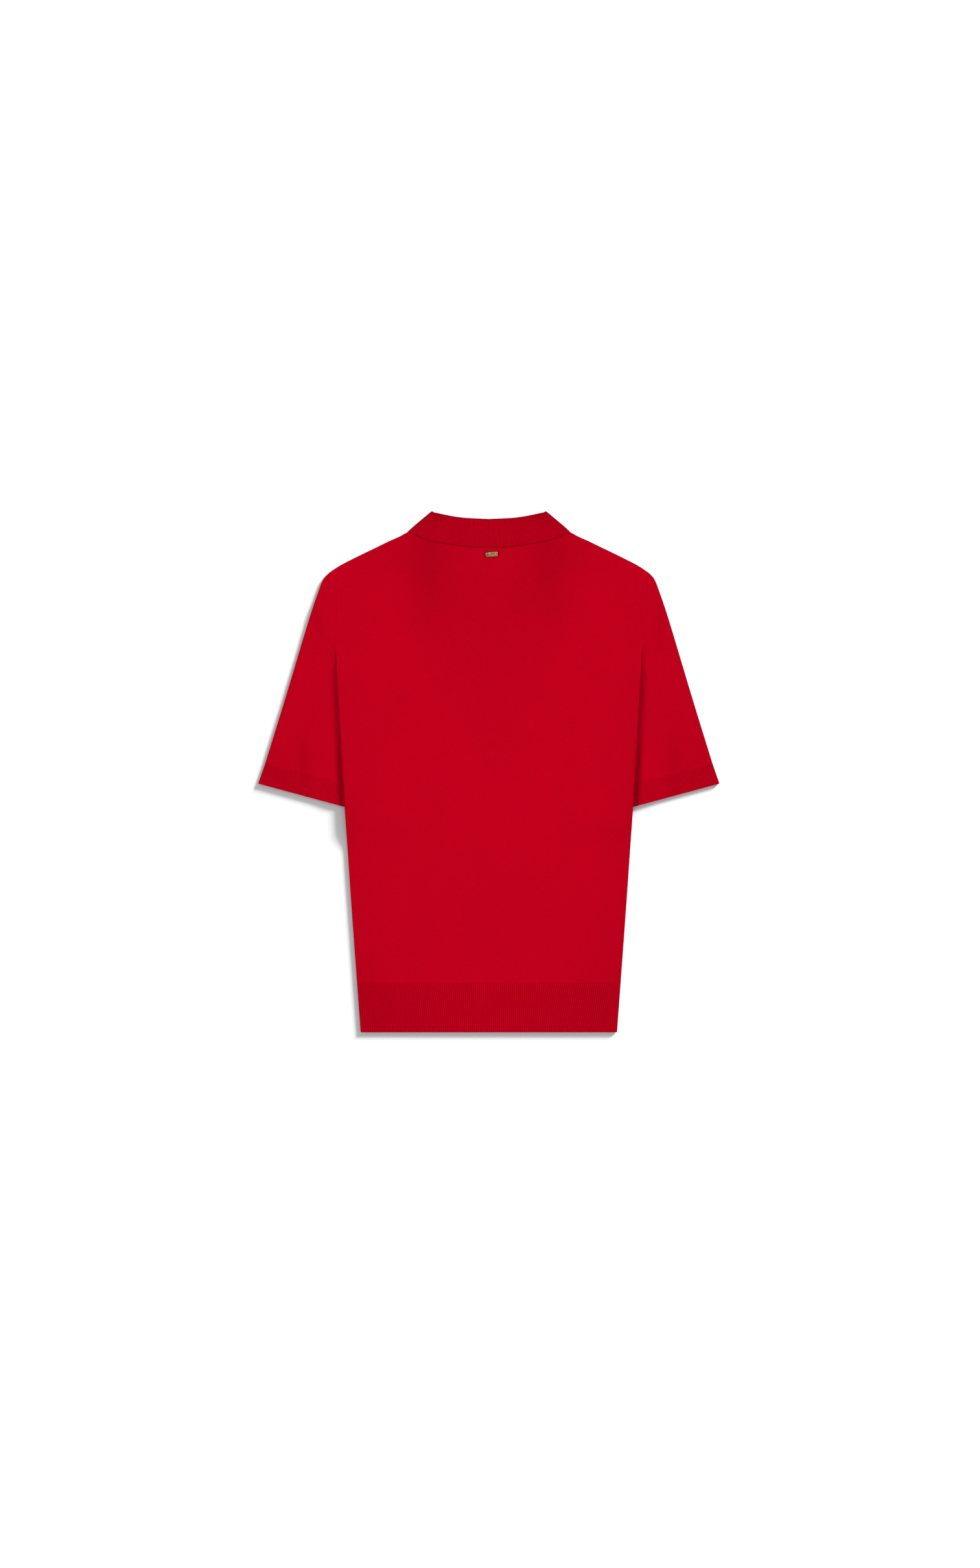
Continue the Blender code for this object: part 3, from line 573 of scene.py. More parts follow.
def sleeve_drape(x, y):
    """What the scene adds to the upper layer of a sleeve, clear of the body that lies on it."""
    mask = beyond(x - side_edge(min(y, CREASE_Y)), DRAPE_CREASE)
    mask *= beyond(y - line_y(SLEEVE_END, SLEEVE_END_SLOPE, x), DRAPE_CUFF)
    return mask * wrinkled(x, y, SLEEVE_FOLDS) + crease_puff(x, y)


# Soft darker places of painted shade, alike on both sides of the centre: the place, the reach across
# and along, and how much darker
Patch = namedtuple("Patch", "x y across along depth")
BACK_PATCHES = (
    Patch(74, 268, 27, 78, 0.14),
    Patch(0, 245, 62, 105, 0.06),
    Patch(0, 130, 42, 60, 0.03),
    Patch(190, -90, 42, 260, 0.07),
    Patch(0, -200, 240, 80, 0.03),
    Patch(130, 277, 75, 36, 0.06),
    Patch(48, 215, 34, 36, 0.035),
    Patch(158, -275, 60, 75, 0.07),
)
HEM_PATCHES = (
    Patch(158, -300, 75, 90, 0.1),
    Patch(0, -300, 90, 60, 0.02),
)
SLEEVE_PATCHES = (
    Patch(235, 120, 90, 160, 0.05),
    Patch(229, 10, 9, 34, 0.08),
    Patch(262, 12, 26, 62, 0.06),
    Patch(188, 235, 26, 36, 0.04),
    Patch(211, 184, 6, 22, 0.09),
)
CUFF_PATCHES = (
    Patch(229, 10, 9, 34, 0.08),
    Patch(262, 12, 30, 62, 0.06),
)
# Painted shade: the collar is a little darker at its centre
COLLAR_PAINTED_SHADE = 0.04
COLLAR_PAINTED_SHADE_FADE = Fade(40, 30)

# Shade painted on the sleeve in the crease beside the body's edge, most of all at the cuff: (Y, how
# much)
CREASE_SHADES = (
    (-16, 0.47), (18, 0.41), (30, 0.34), (42, 0.25), (66, 0.2), (102, 0.18), (114, 0.12), (124, 0.04),
    (138, 0.09), (150, 0.1), (160, 0.0),
)
CREASE_MIDDLE = 4.0
CREASE_MIDDLE_TOP = 1.8
CREASE_TOP_Y = 130.0
CREASE_INNER_REACH = 2.1
CREASE_OUTER_REACH = 3.6
# Right beside the body's edge painted light makes the sleeve lighter again, and painted shade makes
# the edge itself a little darker
CONTACT_PAINTED_LIGHT = -0.12
CONTACT_PLACE = 0.7
CONTACT_REACH = 1.4
CONTACT_TOP_Y = 140.0
CONTACT_FADE = 20.0
EDGE_SHADE = 0.03
EDGE_REACH = 2.2
EDGE_SHADE_TOP = Fade(8, 50)
EDGE_SHADE_ARM = Fade(-18, 30)
EDGE_SHADE_BELOW_ARM = 0.35

# Shade is painted on cloth that turns down at a fold, from a slope where 1 - the normal's Z is
# RIM_START
RIM_SHADE = 0.27
RIM_START = 0.03
RIM_RISE = 0.12


def painted_shade_of(patches):
    """A function that gives the share of painted shade at a point."""
    def dye_and_shade(x, y):
        return sum(
            p.depth * math.exp(-(((abs(x) - p.x) / p.across) ** 2) - ((y - p.y) / p.along) ** 2)
            for p in patches
        )

    return dye_and_shade


def between(table, place):
    """The value at a place, from a table of (place, value) in rising order that straight lines
    join up."""
    for (p0, v0), (p1, v1) in zip(table, table[1:]):
        if place < p1:
            return v0 + (v1 - v0) * max((place - p0) / (p1 - p0), 0)
    return table[-1][1]


def crease_painted_shade(x, y):
    """Painted shade on the sleeve beside the body's edge, and painted light right at the edge."""
    middle = CREASE_MIDDLE_TOP if y > CREASE_TOP_Y else CREASE_MIDDLE
    away = abs(x) - side_edge(y) - middle
    reach = CREASE_OUTER_REACH if away > 0 else CREASE_INNER_REACH
    contact = CONTACT_PAINTED_LIGHT * math.exp(-(((away + middle - CONTACT_PLACE) / CONTACT_REACH) ** 2))
    darker = between(CREASE_SHADES, y) * math.exp(-((away / reach) ** 2))
    return darker + contact * smooth((CONTACT_TOP_Y - y) / CONTACT_FADE)


def collar_painted_shade(x, y):
    """Painted shade on the collar, a little darker at its centre."""
    return COLLAR_PAINTED_SHADE * faded(abs(x), COLLAR_PAINTED_SHADE_FADE)


def back_painted_shade(x, y):
    """Painted shade on the back: its soft darker places, and a little more along its edges where they
    lie over the sleeves.
    """
    away = max(side_edge(y) - abs(x), 0)
    arm = EDGE_SHADE_BELOW_ARM + (1 - EDGE_SHADE_BELOW_ARM) * beyond(y, EDGE_SHADE_ARM)
    edge = beyond(CREASE_Y - y, EDGE_SHADE_TOP) * arm * math.exp(-((away / EDGE_REACH) ** 2))
    return painted_shade_of(BACK_PATCHES)(x, y) + EDGE_SHADE * edge


# Grids of points


def column_x(i, end):
    """Where the panels' columns stand on a level row: one is at the slit's edge."""
    if i <= SLIT_COLUMNS:
        return SLIT_HALF_WIDTH * i / SLIT_COLUMNS
    share = (i - SLIT_COLUMNS) / (NECK_COLUMNS + SHOULDER_COLUMNS)
    return SLIT_HALF_WIDTH + (end - SLIT_HALF_WIDTH) * share


def neckline(is_back):
    """The points of the half neckline, one for each column."""
    if is_back:
        return sampled(BACK_NECK, SLIT_COLUMNS + NECK_COLUMNS + 1)
    xs = [SLIT_HALF_WIDTH * i / SLIT_COLUMNS for i in range(SLIT_COLUMNS)]
    slit = [Vector((x, FRONT_NECK[0][1])) for x in xs]
    return slit + sampled(FRONT_NECK, NECK_COLUMNS + 1)


def evenly(first, last, pitch):
    """Evenly spaced values from first to last, about a pitch apart."""
    count = max(round((last - first) / pitch), 1)
    return [first + (last - first) * k / count for k in range(count + 1)]


def armhole_line():
    """The seam between the body and the sleeve, from the shoulder down to the underarm."""
    visible = sampled(ARMHOLE, YOKE_ROWS + 1)[::-1]
    hidden = [Vector((seam_x(y), y)) for y in evenly(CREASE_Y, UNDERARM_Y, -BODY_ROW_PITCH)[1:]]
    return visible + hidden


def shoulder_tip_normal():
    return normals_of(sampled(SHOULDER, SHOULDER_COLUMNS + 1), Vector((0, 1)))[-1]


def panel_grid(is_back):
    """Rows of points for the right half of a panel, from the hem rib up to neck and shoulder."""
    low = evenly(HEM_RIB_TOP + JOIN_GAP / 2, UNDERARM_Y, BODY_ROW_PITCH)[:-1]
    ys = low + evenly(UNDERARM_Y, CREASE_Y, BODY_ROW_PITCH)[:-1]
    return [body_row(y, is_back, column_x, PANEL_COLUMNS) for y in ys] + yoke_rows(is_back)


def body_row(y, is_back, place, columns):
    """One level row of a panel, from the centre out and over the side's fold."""
    height = back_height if is_back else front_height
    start = fold_start(y) if is_back else front_start(y)
    flat = [place(i, start) for i in range(columns + 1)]
    row = [Vector((x, y, height(x, y))) for x in flat]
    if y >= UNDERARM_Y and not is_back:
        edge = [start + run for run in flat_runs(ARC_STEPS)]
        return row + [Vector((x, y, height(x, y))) for x in edge]
    top = back_height(fold_start(y), y)
    for run in back_runs(y) if is_back else front_runs(y):
        x, drop = round_edge(y, run)
        row.append(Vector((x, y, top - drop)))
    return row


def flat_runs(columns):
    return [FLAT_EDGE * k / columns for k in range(1, columns + 1)]


def turned_gap(y):
    """The gap at the side seam, wider where its edges meet on the round."""
    return SEAM_GAP + (TURNED_GAP - SEAM_GAP) * (1 - seam_tuck(y) / SEAM_TUCK)


def back_runs(y):
    """The columns past the fold's start on the back: along the arc, then the tuck."""
    gap = SEAM_GAP if y >= UNDERARM_Y else turned_gap(y)
    end = seam_run(y) - gap / 2
    arc = min(end - LEAST_TUCK, math.pi * FOLD_RADIUS)
    runs = [arc * k / ARC_STEPS for k in range(1, ARC_STEPS + 1)]
    return runs + [arc + (end - arc) * k / TUCK_STEPS for k in range(1, TUCK_STEPS + 1)]


def front_start(y):
    """Where the front's flat columns end."""
    if y >= UNDERARM_Y:
        return seam_x(y) - SEAM_GAP / 2 - FLAT_EDGE
    return round_edge(y, front_first_run(y))[0]


def front_first_run(y):
    return max(math.pi * FOLD_RADIUS, seam_run(y) + FLAT_EDGE)


def front_runs(y):
    """The columns past the front's flat part, on the same fold from below."""
    first = front_first_run(y)
    last = seam_run(y) + turned_gap(y) / 2
    return [first + (last - first) * k / ARC_STEPS for k in range(1, ARC_STEPS + 1)]


def patch(bottom, top, start, end):
    """Rows of points that fill four edges: bottom and top run across, start and end up."""
    def point(i, j):
        u, v = i / (len(bottom) - 1), j / (len(start) - 1)
        corners = bottom[0].lerp(top[0], v).lerp(bottom[-1].lerp(top[-1], v), u)
        return bottom[i].lerp(top[i], v) + start[j].lerp(end[j], u) - corners

    return [[point(i, j) for i in range(len(bottom))] for j in range(len(start))]


def yoke_rows(is_back):
    """Rows between the crease's start and the neck and shoulder, whose edge turns over."""
    height = back_height if is_back else front_height
    neck = neckline(is_back)
    neck_columns = len(neck) - 1
    shoulder = sampled(SHOULDER, SHOULDER_COLUMNS + 1)
    up = Vector((0, 1))
    normals = normals_of(neck, up)[:-1] + normals_of(shoulder, up)
    neck_inset = FLAT_EDGE + SEAM_GAP / 2
    insets = [neck_inset] * neck_columns + [FOLD_INSET] * (SHOULDER_COLUMNS + 1)
    top = [p - n * d for p, n, d in zip(neck[:-1] + shoulder, normals, insets)]
    armhole = sampled(ARMHOLE, YOKE_ROWS + 1)
    sideways = normals_of(armhole, Vector((1, 0)))
    side = [p - n * (FLAT_EDGE + SEAM_GAP / 2) for p, n in zip(armhole, sideways)]
    corner = top[-1] - sideways[-1] * (FLAT_EDGE + SEAM_GAP / 2)
    side[-1] = top[-1] = corner
    bottom = [Vector((column_x(i, side[0].x), CREASE_Y)) for i in range(len(top))]
    centre = [bottom[0].lerp(top[0], j / YOKE_ROWS) for j in range(YOKE_ROWS + 1)]
    edge_columns = ARC_STEPS + (TUCK_STEPS if is_back else 0)
    rows = []
    for flat, p, n in zip(patch(bottom, top, centre, side), side, sideways):
        out = [p + n * run for run in flat_runs(edge_columns)]
        rows.append([at(q, height(q.x, q.y)) for q in flat + out])
    return rows + edge_rows(rows[-1], normals, neck_columns, -1 if is_back else 1)


def edge_rows(last, normals, neck_columns, sign):
    """Rows that carry the yoke's top edge on: flat at the neck, turned over at the shoulder,
    down where sign is -1 and up where it is 1."""
    result = []
    for k in range(1, ARC_STEPS + 1):
        row = []
        for i, p in enumerate(last):
            normal = normals[min(i, len(normals) - 1)]
            reach, turn = FLAT_EDGE * k / ARC_STEPS, 0
            if i >= neck_columns:
                radius = (back_height(p.x, p.y) - front_height(p.x, p.y)) / 2
                angle = (math.pi / 2 - math.asin(TURNED_GAP / 2 / radius)) * k / ARC_STEPS
                angle *= NECK_CORNER_EASE if i == neck_columns else 1
                reach = radius * math.sin(angle)
                turn = sign * radius * (1 - math.cos(angle))
            row.append(Vector((p.x + normal.x * reach, p.y + normal.y * reach, p.z + turn)))
        result.append(row)
    return result


def both_halves(rows):
    """Rows across the whole width from rows of the right half."""
    return [[Vector((-p.x, p.y, p.z)) for p in reversed(row[1:])] + row for row in rows]


# Meshes


def mesh_of(made, name):
    """The finished mesh of a bmesh, which is freed."""
    mesh = bpy.data.meshes.new(name)
    made.to_mesh(mesh)
    made.free()
    return mesh


def new_object(name, data):
    """An object in the scene."""
    made = bpy.data.objects.new(name, data)
    bpy.context.scene.collection.objects.link(made)
    return made


def add_piece(name, mesh, material, slot, *nodes):
    """A piece that rides on the body, in place of the solids of the given nodes."""
    mesh.materials.append(material)
    mesh.shade_smooth()
    mesh.set_sharp_from_angle(angle=math.radians(SHARP_DEGREES))
    piece = new_object(name, mesh)
    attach(piece, "root")
    if nodes:
        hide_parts(*nodes)
    return piece


def plain_grain(j, i, p):
    """Across and along the knit of a panel: its wales run along Y."""
    return p.x, p.y


def middle_surface(rows, loop, leave_out):
    """A surface through a grid of points, as a bmesh and its vertices row by row."""
    middle = bmesh.new()
    points = [[middle.verts.new(p * MM) for p in row] for row in rows]
    count = len(rows[0])
    for j in range(len(rows) - 1):
        for i in range(count if loop else count - 1):
            if leave_out and leave_out(j, i):
                continue
            n = (i + 1) % count
            middle.faces.new((points[j][i], points[j][n], points[j + 1][n], points[j + 1][i]))
    for vert in [v for v in middle.verts if not v.link_faces]:
        middle.verts.remove(vert)
    middle.normal_update()
    return middle, points


def cloth(rows, loop=False, relief=None, leave_out=None, mirrored=False, grain=plain_grain,
          thickness=None, dye_and_shade=None, joined=()):
    """A wall of cloth round a grid of its middle points. Faces look up where the rows run
    towards +Y and the columns towards +X. relief(row, column) gives how far a point stands out
    on that side, and its attribute groove: 1 between ribs. grain(row, column, point) gives the
    attribute grain: the place across and along the knit and the depth in it, in mm.
    thickness(row, column) is a share of the wall, which otherwise thins a little at its edges, but not
    at the rows that are joined to the next piece. dye_and_shade(x, y) is how much shade is painted on
    at a point, painted light where it is below nothing, and is kept in the attribute dye_and_shade
    along with painted shade where the cloth turns down at a fold."""
    middle, points = middle_surface(rows, loop, leave_out)
    solid = bmesh.new()
    grain_layer = solid.verts.layers.float_vector.new("grain")
    groove_layer = solid.verts.layers.float.new("groove")
    painted_shade_layer = solid.verts.layers.float.new("dye_and_shade")
    outer, inner = {}, {}
    for j, row in enumerate(points):
        for i, vert in enumerate(row):
            if not vert.is_valid:
                continue
            if thickness:
                share = thickness(j, i)
            else:
                share = SEAM_THINNING if vert.is_boundary and j not in joined else 1
            share *= min(vert.calc_shell_factor(), THICKEST_TURN)
            offset = vert.normal * HALF_WALL * MM * share
            height, groove = relief(j, i) if relief else (0, 0)
            outer[vert] = solid.verts.new(vert.co + offset + vert.normal * height * MM)
            inner[vert] = solid.verts.new(vert.co - offset)
            u, v = grain(j, i, rows[j][i])
            outer[vert][grain_layer] = (u, v, 0)
            inner[vert][grain_layer] = (u, v, WALL)
            outer[vert][groove_layer] = groove
            # Painted shade where the cloth turns down at a fold, added to the painted shade and light
            # of dye_and_shade
            rim = RIM_SHADE * smooth((1 - abs(vert.normal.z) - RIM_START) / RIM_RISE)
            outer[vert][painted_shade_layer] = rim + (dye_and_shade(rows[j][i].x, rows[j][i].y) if dye_and_shade else 0)
    for face in middle.faces:
        solid.faces.new([outer[v] for v in face.verts])
        solid.faces.new([inner[v] for v in reversed(face.verts)])
        for corner in face.loops:
            if corner.edge.is_boundary:
                a, b = corner.vert, corner.link_loop_next.vert
                solid.faces.new((outer[b], outer[a], inner[a], inner[b]))
    if mirrored:
        for vert in solid.verts:
            vert.co.x = -vert.co.x
        bmesh.ops.reverse_faces(solid, faces=solid.faces)
    middle.free()
    return mesh_of(solid, "cloth")


def rib_form(phase):
    """The rounded section of a rib: 1 on its crest, at a whole phase, and 0 in the groove."""
    across = abs(phase - round(phase)) * 2
    return 1 - across**RIB_SQUARENESS


def fading_ends(distance, length):
    """Ribs fade out at both ends of their length."""
    return smooth(distance / RIB_END_FADE) * smooth((length - distance) / RIB_END_FADE)


def end_rows(low, high, pitch):
    """Values from low to high, close together at both ends, where the cloth's edge rounds."""
    inside = evenly(low + EDGE_ROWS[-1], high - EDGE_ROWS[-1], pitch)[1:-1]
    return [low + d for d in EDGE_ROWS] + inside + [high - d for d in reversed(EDGE_ROWS)]


def edge_roundness(distance):
    """The share of the wall that a rounded edge keeps at a distance from it."""
    t = min(distance / HALF_WALL, 1)
    return EDGE_WALL_SHARE + (1 - EDGE_WALL_SHARE) * math.sqrt(t * (2 - t))


# Materials


def connect(tree, value, socket):
    """Links an output to a socket, or sets the socket to a plain value."""
    if isinstance(value, bpy.types.NodeSocket):
        tree.links.new(value, socket)
    else:
        socket.default_value = value


def maths(tree, operation, a, b=0.0, clamp=False):
    node = tree.nodes.new("ShaderNodeMath")
    node.operation = operation
    node.use_clamp = clamp
    connect(tree, a, node.inputs[0])
    connect(tree, b, node.inputs[1])
    return node.outputs[0]


def noise_at(tree, vector, stretch=(1, 1, 1), scale=1.0, detail=2.0):
    """Noise from 0 to 1 on coordinates that are stretched along each axis."""
    scaled = tree.nodes.new("ShaderNodeVectorMath")
    scaled.operation = "MULTIPLY"
    tree.links.new(vector, scaled.inputs[0])
    scaled.inputs[1].default_value = stretch
    texture = tree.nodes.new("ShaderNodeTexNoise")
    texture.inputs["Scale"].default_value = scale
    texture.inputs["Detail"].default_value = detail
    tree.links.new(scaled.outputs[0], texture.inputs["Vector"])
    return texture.outputs["Fac"]


def stitch_height(tree, grain, wale, course):
    """Rows of small V shapes: the face of a plain knit, from 0 to 1."""
    place = split_axes(tree, grain)
    across = maths(tree, "MULTIPLY", place["X"], 1 / wale)
    along = maths(tree, "MULTIPLY", place["Y"], 1 / course)
    from_centre = maths(tree, "SUBTRACT", maths(tree, "FRACT", across), 0.5)
    from_centre = maths(tree, "ABSOLUTE", from_centre)
    lean = maths(tree, "ADD", along, maths(tree, "MULTIPLY", from_centre, STITCH_LEAN))
    turn = maths(tree, "MULTIPLY", lean, 2 * math.pi)
    leg = maths(tree, "MULTIPLY", maths(tree, "ADD", maths(tree, "SINE", turn), 1), 0.5)
    side = maths(tree, "MULTIPLY", from_centre, 2)
    groove = maths(tree, "SUBTRACT", 1, maths(tree, "POWER", side, STITCH_SQUARENESS))
    return maths(tree, "MULTIPLY", leg, groove)


def bumped(tree, height, distance, normal=None):
    """The normal of a surface that a height from 0 to 1 lifts by a distance."""
    bump = tree.nodes.new("ShaderNodeBump")
    bump.inputs["Distance"].default_value = distance * MM
    tree.links.new(height, bump.inputs["Height"])
    if normal:
        tree.links.new(normal, bump.inputs["Normal"])
    return bump.outputs["Normal"]


def colour_between(tree, share, low, high):
    """The mix of two colours, each a plain one or an output."""
    mix = tree.nodes.new("ShaderNodeMix")
    mix.data_type = "RGBA"
    connect(tree, share, mix.inputs["Factor"])
    connect(tree, (*low, 1) if isinstance(low, tuple) else low, mix.inputs["A"])
    connect(tree, (*high, 1) if isinstance(high, tuple) else high, mix.inputs["B"])
    return mix.outputs["Result"]


def split_axes(tree, vector):
    """The outputs X, Y and Z of a vector."""
    split = tree.nodes.new("ShaderNodeSeparateXYZ")
    tree.links.new(vector, split.inputs[0])
    return split.outputs


def attribute(tree, name, output="Fac"):
    node = tree.nodes.new("ShaderNodeAttribute")
    node.attribute_name = name
    return node.outputs[output]


def new_material(name, **settings):
    """A material with settings of its shader, whose names are written with _ for a space."""
    material = bpy.data.materials.new(name)
    material.use_nodes = True
    shader = material.node_tree.nodes["Principled BSDF"]
    for setting, value in settings.items():
        shader.inputs[setting.replace("_", " ")].default_value = value
    return material, material.node_tree, shader.inputs


def object_place(tree):
    return tree.nodes.new("ShaderNodeTexCoord").outputs["Object"]


def plate_shadow(tree, grain):
    """The painted shadow of the plate on the knit: full under the plate, none beyond a narrow rim,
    which is a little wider to the left, and none on the inner side."""
    place = tree.nodes.new("ShaderNodeMapping")
    place.vector_type = "TEXTURE"
    x, y = PLATE_CENTRE
    place.inputs["Location"].default_value = (x - PLATE_SHADOW_SHIFT, y, 0)
    place.inputs["Rotation"].default_value = (0, 0, PLATE_TURN)
    tree.links.new(grain, place.inputs["Vector"])
    on_plate = split_axes(tree, place.outputs[0])
    squares = []
    for axis, size in (("X", PLATE_LENGTH), ("Y", PLATE_WIDTH)):
        away = maths(tree, "ABSOLUTE", on_plate[axis])
        away = maths(tree, "SUBTRACT", away, size / 2 - PLATE_CORNER)
        away = maths(tree, "MAXIMUM", away, 0.0)
        squares.append(maths(tree, "MULTIPLY", away, away))
    reach = maths(tree, "SQRT", maths(tree, "ADD", *squares))
    left = maths(tree, "SUBTRACT", PLATE_CORNER + PLATE_SHADOW_REACH, reach)
    shadow = maths(tree, "DIVIDE", left, PLATE_SHADOW_REACH, clamp=True)
    outside = maths(tree, "SUBTRACT", 1, on_plate["Z"], clamp=True)
    return maths(tree, "MULTIPLY", maths(tree, "MULTIPLY", shadow, outside), PLATE_SHADOW)


# The dye's unevenness: how its noise is stretched across and along the knit, its detail, and
# its weight. The first follows the courses, the second the wales, and the third is soft patches.
Mottle = namedtuple("Mottle", "stretch detail weight")
MOTTLES = (
    Mottle(stretch=(0.13, 0.75, 1), detail=3.0, weight=1.0),
    Mottle(stretch=(0.9, 0.22, 1), detail=3.0, weight=0.5),
    Mottle(stretch=(0.022, 0.012, 1), detail=2.0, weight=0.4),
)
# How much the stitches' hollows are painted darker, as painted shade
STITCH_SHADE_WEIGHT = 0.2
TONE_START = 0.52
STITCH_LEAN = 1.1
STITCH_SQUARENESS = 5


def knit_material(name, wale, course, groove_shade=0.0, with_plate_shadow=False):
    """Red knit: stitches, whose hollows get painted shade, a slight haze of fibres, streaks along the
    courses and soft unevenness of the dye. Painted shade and light come from the attribute
    dye_and_shade, painted shade goes into the grooves between ribs and on turns by groove_shade, and a
    painted shadow goes round the plate with with_plate_shadow."""
    material, tree, inputs = new_material(
        name, Roughness=0.9, Specular_IOR_Level=0.06, Specular_Tint=(1, 0.02, 0.05, 1),
        Sheen_Weight=0.03, Sheen_Roughness=0.45, Sheen_Tint=(1, 0.01, 0.05, 1),
    )
    grain = attribute(tree, "grain", "Vector")
    stitches = stitch_height(tree, grain, wale, course)
    # Painted shade in the stitches' hollows, then the dye's mottling
    dye_and_shade = maths(tree, "MULTIPLY", stitches, STITCH_SHADE_WEIGHT)
    for mottle in MOTTLES:
        mottling = noise_at(tree, grain, mottle.stretch, detail=mottle.detail)
        dye_and_shade = maths(tree, "ADD", dye_and_shade, maths(tree, "MULTIPLY", mottling, mottle.weight))
    dye_and_shade = maths(tree, "SUBTRACT", dye_and_shade, TONE_START, clamp=True)
    colour = colour_between(tree, dye_and_shade, KNIT_DARK, KNIT_LIGHT)
    # The painted shade and light kept on the cloth's points
    colour = colour_between(tree, attribute(tree, "dye_and_shade"), colour, BLACK)
    # Painted shade below nothing is painted light, which makes the colour lighter.
    colour.node.clamp_factor = False
    # Painted shade in the grooves between ribs and on turns
    if groove_shade:
        groove = maths(tree, "MULTIPLY", attribute(tree, "groove"), groove_shade, clamp=True)
        colour = colour_between(tree, groove, colour, BLACK)
    # Painted shadow round the plate
    if with_plate_shadow:
        colour = colour_between(tree, plate_shadow(tree, grain), colour, BLACK)
    connect(tree, colour, inputs["Base Color"])
    fuzz = bumped(tree, noise_at(tree, grain, scale=2.2, detail=4.0), distance=0.06)
    connect(tree, bumped(tree, stitches, distance=0.2, normal=fuzz), inputs["Normal"])
    return material


def metal_material():
    """Gold colour, worn a little: fine scratches, small changes of gloss, and blotches from dark to
    light gold that are partly worn stains and partly painted reflection.
    """
    material, tree, inputs = new_material("plate_gold", Metallic=1.0)
    place = object_place(tree)
    scratches = noise_at(tree, place, stretch=(300, 2600, 300), detail=3.0)
    # Blotches of colour: partly worn stains, partly painted reflection
    stains_and_reflection = noise_at(tree, place, stretch=(420, 420, 420), detail=3.0)
    stains_and_reflection = maths(tree, "MULTIPLY", stains_and_reflection, 2.4)
    stains_and_reflection = maths(tree, "SUBTRACT", stains_and_reflection, 0.7, clamp=True)
    colour = colour_between(tree, stains_and_reflection, (0.26, 0.17, 0.07), (0.66, 0.46, 0.22))
    connect(tree, colour, inputs["Base Color"])
    gloss = maths(tree, "ADD", maths(tree, "MULTIPLY", stains_and_reflection, 0.25), 0.22)
    connect(tree, gloss, inputs["Roughness"])
    connect(tree, bumped(tree, scratches, distance=0.02), inputs["Normal"])
    return material


def button_material():
    """Dyed resin, cloudy inside, with a soft polish."""
    material, tree, inputs = new_material("button_resin")
    place = object_place(tree)
    clouds = noise_at(tree, place, scale=260.0, detail=4.0)
    colour = colour_between(tree, clouds, (0.24, 0.001, 0.008), (0.42, 0.006, 0.02))
    connect(tree, colour, inputs["Base Color"])
    gloss = maths(tree, "ADD", maths(tree, "MULTIPLY", clouds, 0.15), 0.25)
    connect(tree, gloss, inputs["Roughness"])
    grit = noise_at(tree, place, scale=2500.0)
    connect(tree, bumped(tree, grit, distance=0.01), inputs["Normal"])
    return material


def thread_material():
    """Twisted red sewing thread."""
    material, tree, inputs = new_material("thread_red", Roughness=0.7, Specular_IOR_Level=0.2)
    strands = noise_at(tree, object_place(tree), scale=3500.0, detail=3.0)
    colour = colour_between(tree, strands, (0.2, 0.0005, 0.006), (0.46, 0.001, 0.012))
    connect(tree, colour, inputs["Base Color"])
    connect(tree, bumped(tree, strands, distance=0.04), inputs["Normal"])
    return material


def floor_material():
    """Pale paper with the least tooth."""
    material, tree, inputs = new_material("floor_paper", Roughness=1.0, Specular_IOR_Level=0.0)
    tooth = noise_at(tree, object_place(tree), scale=400.0)
    colour = colour_between(tree, tooth, (0.94, 0.94, 0.94), (0.96, 0.96, 0.96))
    connect(tree, colour, inputs["Base Color"])
    return material


# Pieces


def make_back(material):
    """The back, draped in soft folds over what lies under it."""
    rows = both_halves(panel_grid(True))
    for row in rows:
        for p in row:
            if p.z > BACK_HEIGHT - SLIGHT_DROP:
                p.z += back_drape(p.x, p.y)
    mesh = cloth(rows, dye_and_shade=back_painted_shade, joined=(0,))
    return add_piece("back_knit", mesh, material, "knit", "back_panel")


def make_front(material):
    """The front, with the slit for the placket left open at its centre."""
    rows = both_halves(panel_grid(False))
    middle = len(rows[0]) // 2
    heights = [row[middle].y for row in rows]
    first = min(range(len(rows)), key=lambda j: abs(heights[j] - BAND_BOTTOM))
    for point in rows[first]:
        point.y += (BAND_BOTTOM - heights[first]) * faded(abs(point.x), SLIT_ROW_FADE)

    def in_slit(j, i):
        return j >= first and middle - SLIT_COLUMNS <= i < middle + SLIT_COLUMNS

    mesh = cloth([row[::-1] for row in rows], leave_out=in_slit, joined=(0,))
    return add_piece("front_knit", mesh, material, "knit", "front_panel")


